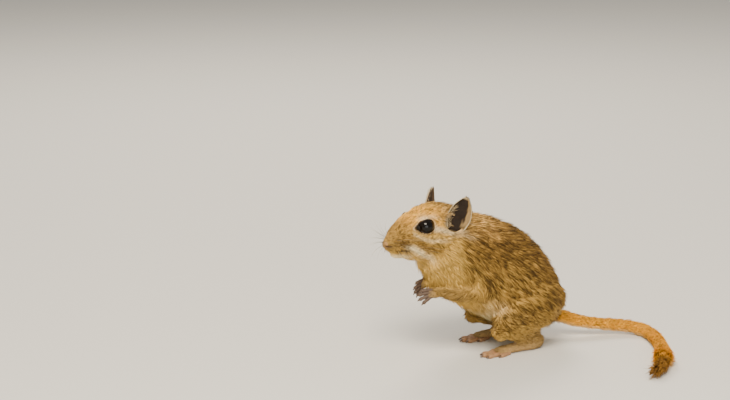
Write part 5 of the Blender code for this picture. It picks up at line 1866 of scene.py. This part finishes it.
def area_light(name, place, aim, size, power, colour):
    """A square soft box at a place, turned to face its aim."""
    data = bpy.data.lights.new(name, "AREA")
    data.shape = "RECTANGLE"
    data.size, data.size_y = size
    data.energy = power
    data.color = colour
    obj = bpy.data.objects.new(name, data)
    bpy.context.scene.collection.objects.link(obj)
    place, aim = np.array(place, float), np.array(aim, float)
    back = unit(place - aim)
    side = unit(np.cross(UPRIGHT, back))
    up = np.cross(back, side)
    rows = [(*row, at) for row, at in zip(np.stack([side, up, back], 1).tolist(), place.tolist())]
    obj.matrix_world = Matrix([*rows, (0.0, 0.0, 0.0, 1.0)])


class GERBIL_OT_stage(bpy.types.Operator):
    """Makes the floor, the lights and the camera"""

    bl_idname = "gerbil.stage"
    bl_label = "Stage"

    def execute(self, context):
        settings = context.scene.gerbil_stage
        mesh = bpy.data.meshes.new("studio_floor")
        reach = np.array([(-6.0, -6.0), (6.0, -6.0), (6.0, 6.0), (-6.0, 6.0)])
        mesh.from_pydata(np.column_stack([reach, np.zeros(4)]).tolist(), [], [(0, 1, 2, 3)])
        mesh.materials.append(finish_named("studio paper", floor_finish, tuple(settings.floor)))
        floor = bpy.data.objects.new("studio_floor", mesh)
        context.scene.collection.objects.link(floor)

        world = context.scene.world or bpy.data.worlds.new("studio")
        context.scene.world = world
        world.use_nodes = True
        ground = world.node_tree.nodes["Background"]
        ground.inputs["Color"].default_value = (*linear("#f4f1ea"), 1.0)
        ground.inputs["Strength"].default_value = settings.sky

        middle = (-0.02, 0.0, 0.03)
        area_light("key", (-0.40, -0.48, 0.76), middle, (0.42, 0.36), settings.key, linear("#fff3df"))
        area_light("fill", (-0.35, -0.95, 0.22), middle, (0.7, 0.5), settings.fill, linear("#f9f6f4"))
        area_light("back", (0.25, 0.7, 0.75), middle, (0.5, 0.4), settings.fill * 1.5, linear("#fff5e6"))

        lens = bpy.data.cameras.new("camera")
        lens.lens = settings.lens
        lens.sensor_width = SENSOR
        lens.clip_start = 0.01
        lens.clip_end = 30.0
        camera = bpy.data.objects.new("camera", lens)
        context.scene.collection.objects.link(camera)
        pitch, turn = settings.pitch, settings.turn
        level = np.array([-math.sin(turn), math.cos(turn), 0.0])
        right = np.array([math.cos(turn), math.sin(turn), 0.0])
        ahead = level * math.cos(pitch) - UPRIGHT * math.sin(pitch)
        up = np.cross(right, ahead)
        # The camera stands back along the near eye's ray, as far as its scale in the photograph asks.
        pixels = settings.lens / SENSOR * FRAME_PIXELS[0]
        rightward = NEAR_EYE_PIXEL[0] - FRAME_PIXELS[0] / 2
        upward = FRAME_PIXELS[1] / 2 - NEAR_EYE_PIXEL[1]
        ray = ahead + right * rightward / pixels + up * upward / pixels
        camera.location = (NEAR_EYE + SHIFT - ray * pixels / NEAR_EYE_SCALE) * MM
        camera.rotation_euler = (math.pi / 2 - pitch, 0.0, turn)
        context.scene.camera = camera
        return {"FINISHED"}


class GERBIL_PT_panel(bpy.types.Panel):
    """Lists the gerbil's pieces and their settings"""

    bl_idname = "GERBIL_PT_panel"
    bl_label = "Gerbil"
    bl_space_type = "VIEW_3D"
    bl_region_type = "UI"
    bl_category = "Gerbil"

    def draw(self, context):
        for group in (context.scene.gerbil_coat, context.scene.gerbil_face, context.scene.gerbil_stage):
            box = self.layout.box()
            for name in group.__annotations__:
                box.prop(group, name)
        for step in PIECES:
            self.layout.operator(step.bl_idname)


PIECES = (
    GERBIL_OT_stage,
    GERBIL_OT_skin,
    GERBIL_OT_eyes,
    GERBIL_OT_ears,
    GERBIL_OT_nose,
    GERBIL_OT_claws,
    GERBIL_OT_coat,
    GERBIL_OT_brush,
    GERBIL_OT_whiskers,
)
CLASSES = (GerbilCoat, GerbilFace, GerbilStage) + PIECES + (GERBIL_PT_panel,)


def register():
    for made in CLASSES:
        bpy.utils.register_class(made)
    bpy.types.Scene.gerbil_coat = bpy.props.PointerProperty(type=GerbilCoat)
    bpy.types.Scene.gerbil_face = bpy.props.PointerProperty(type=GerbilFace)
    bpy.types.Scene.gerbil_stage = bpy.props.PointerProperty(type=GerbilStage)


def unregister():
    del bpy.types.Scene.gerbil_stage
    del bpy.types.Scene.gerbil_face
    del bpy.types.Scene.gerbil_coat
    for made in reversed(CLASSES):
        bpy.utils.unregister_class(made)


def main():
    register()
    for step in PIECES:
        group, name = step.bl_idname.split(".")
        getattr(getattr(bpy.ops, group), name)()
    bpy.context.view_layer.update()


if __name__ == "__main__":
    main()
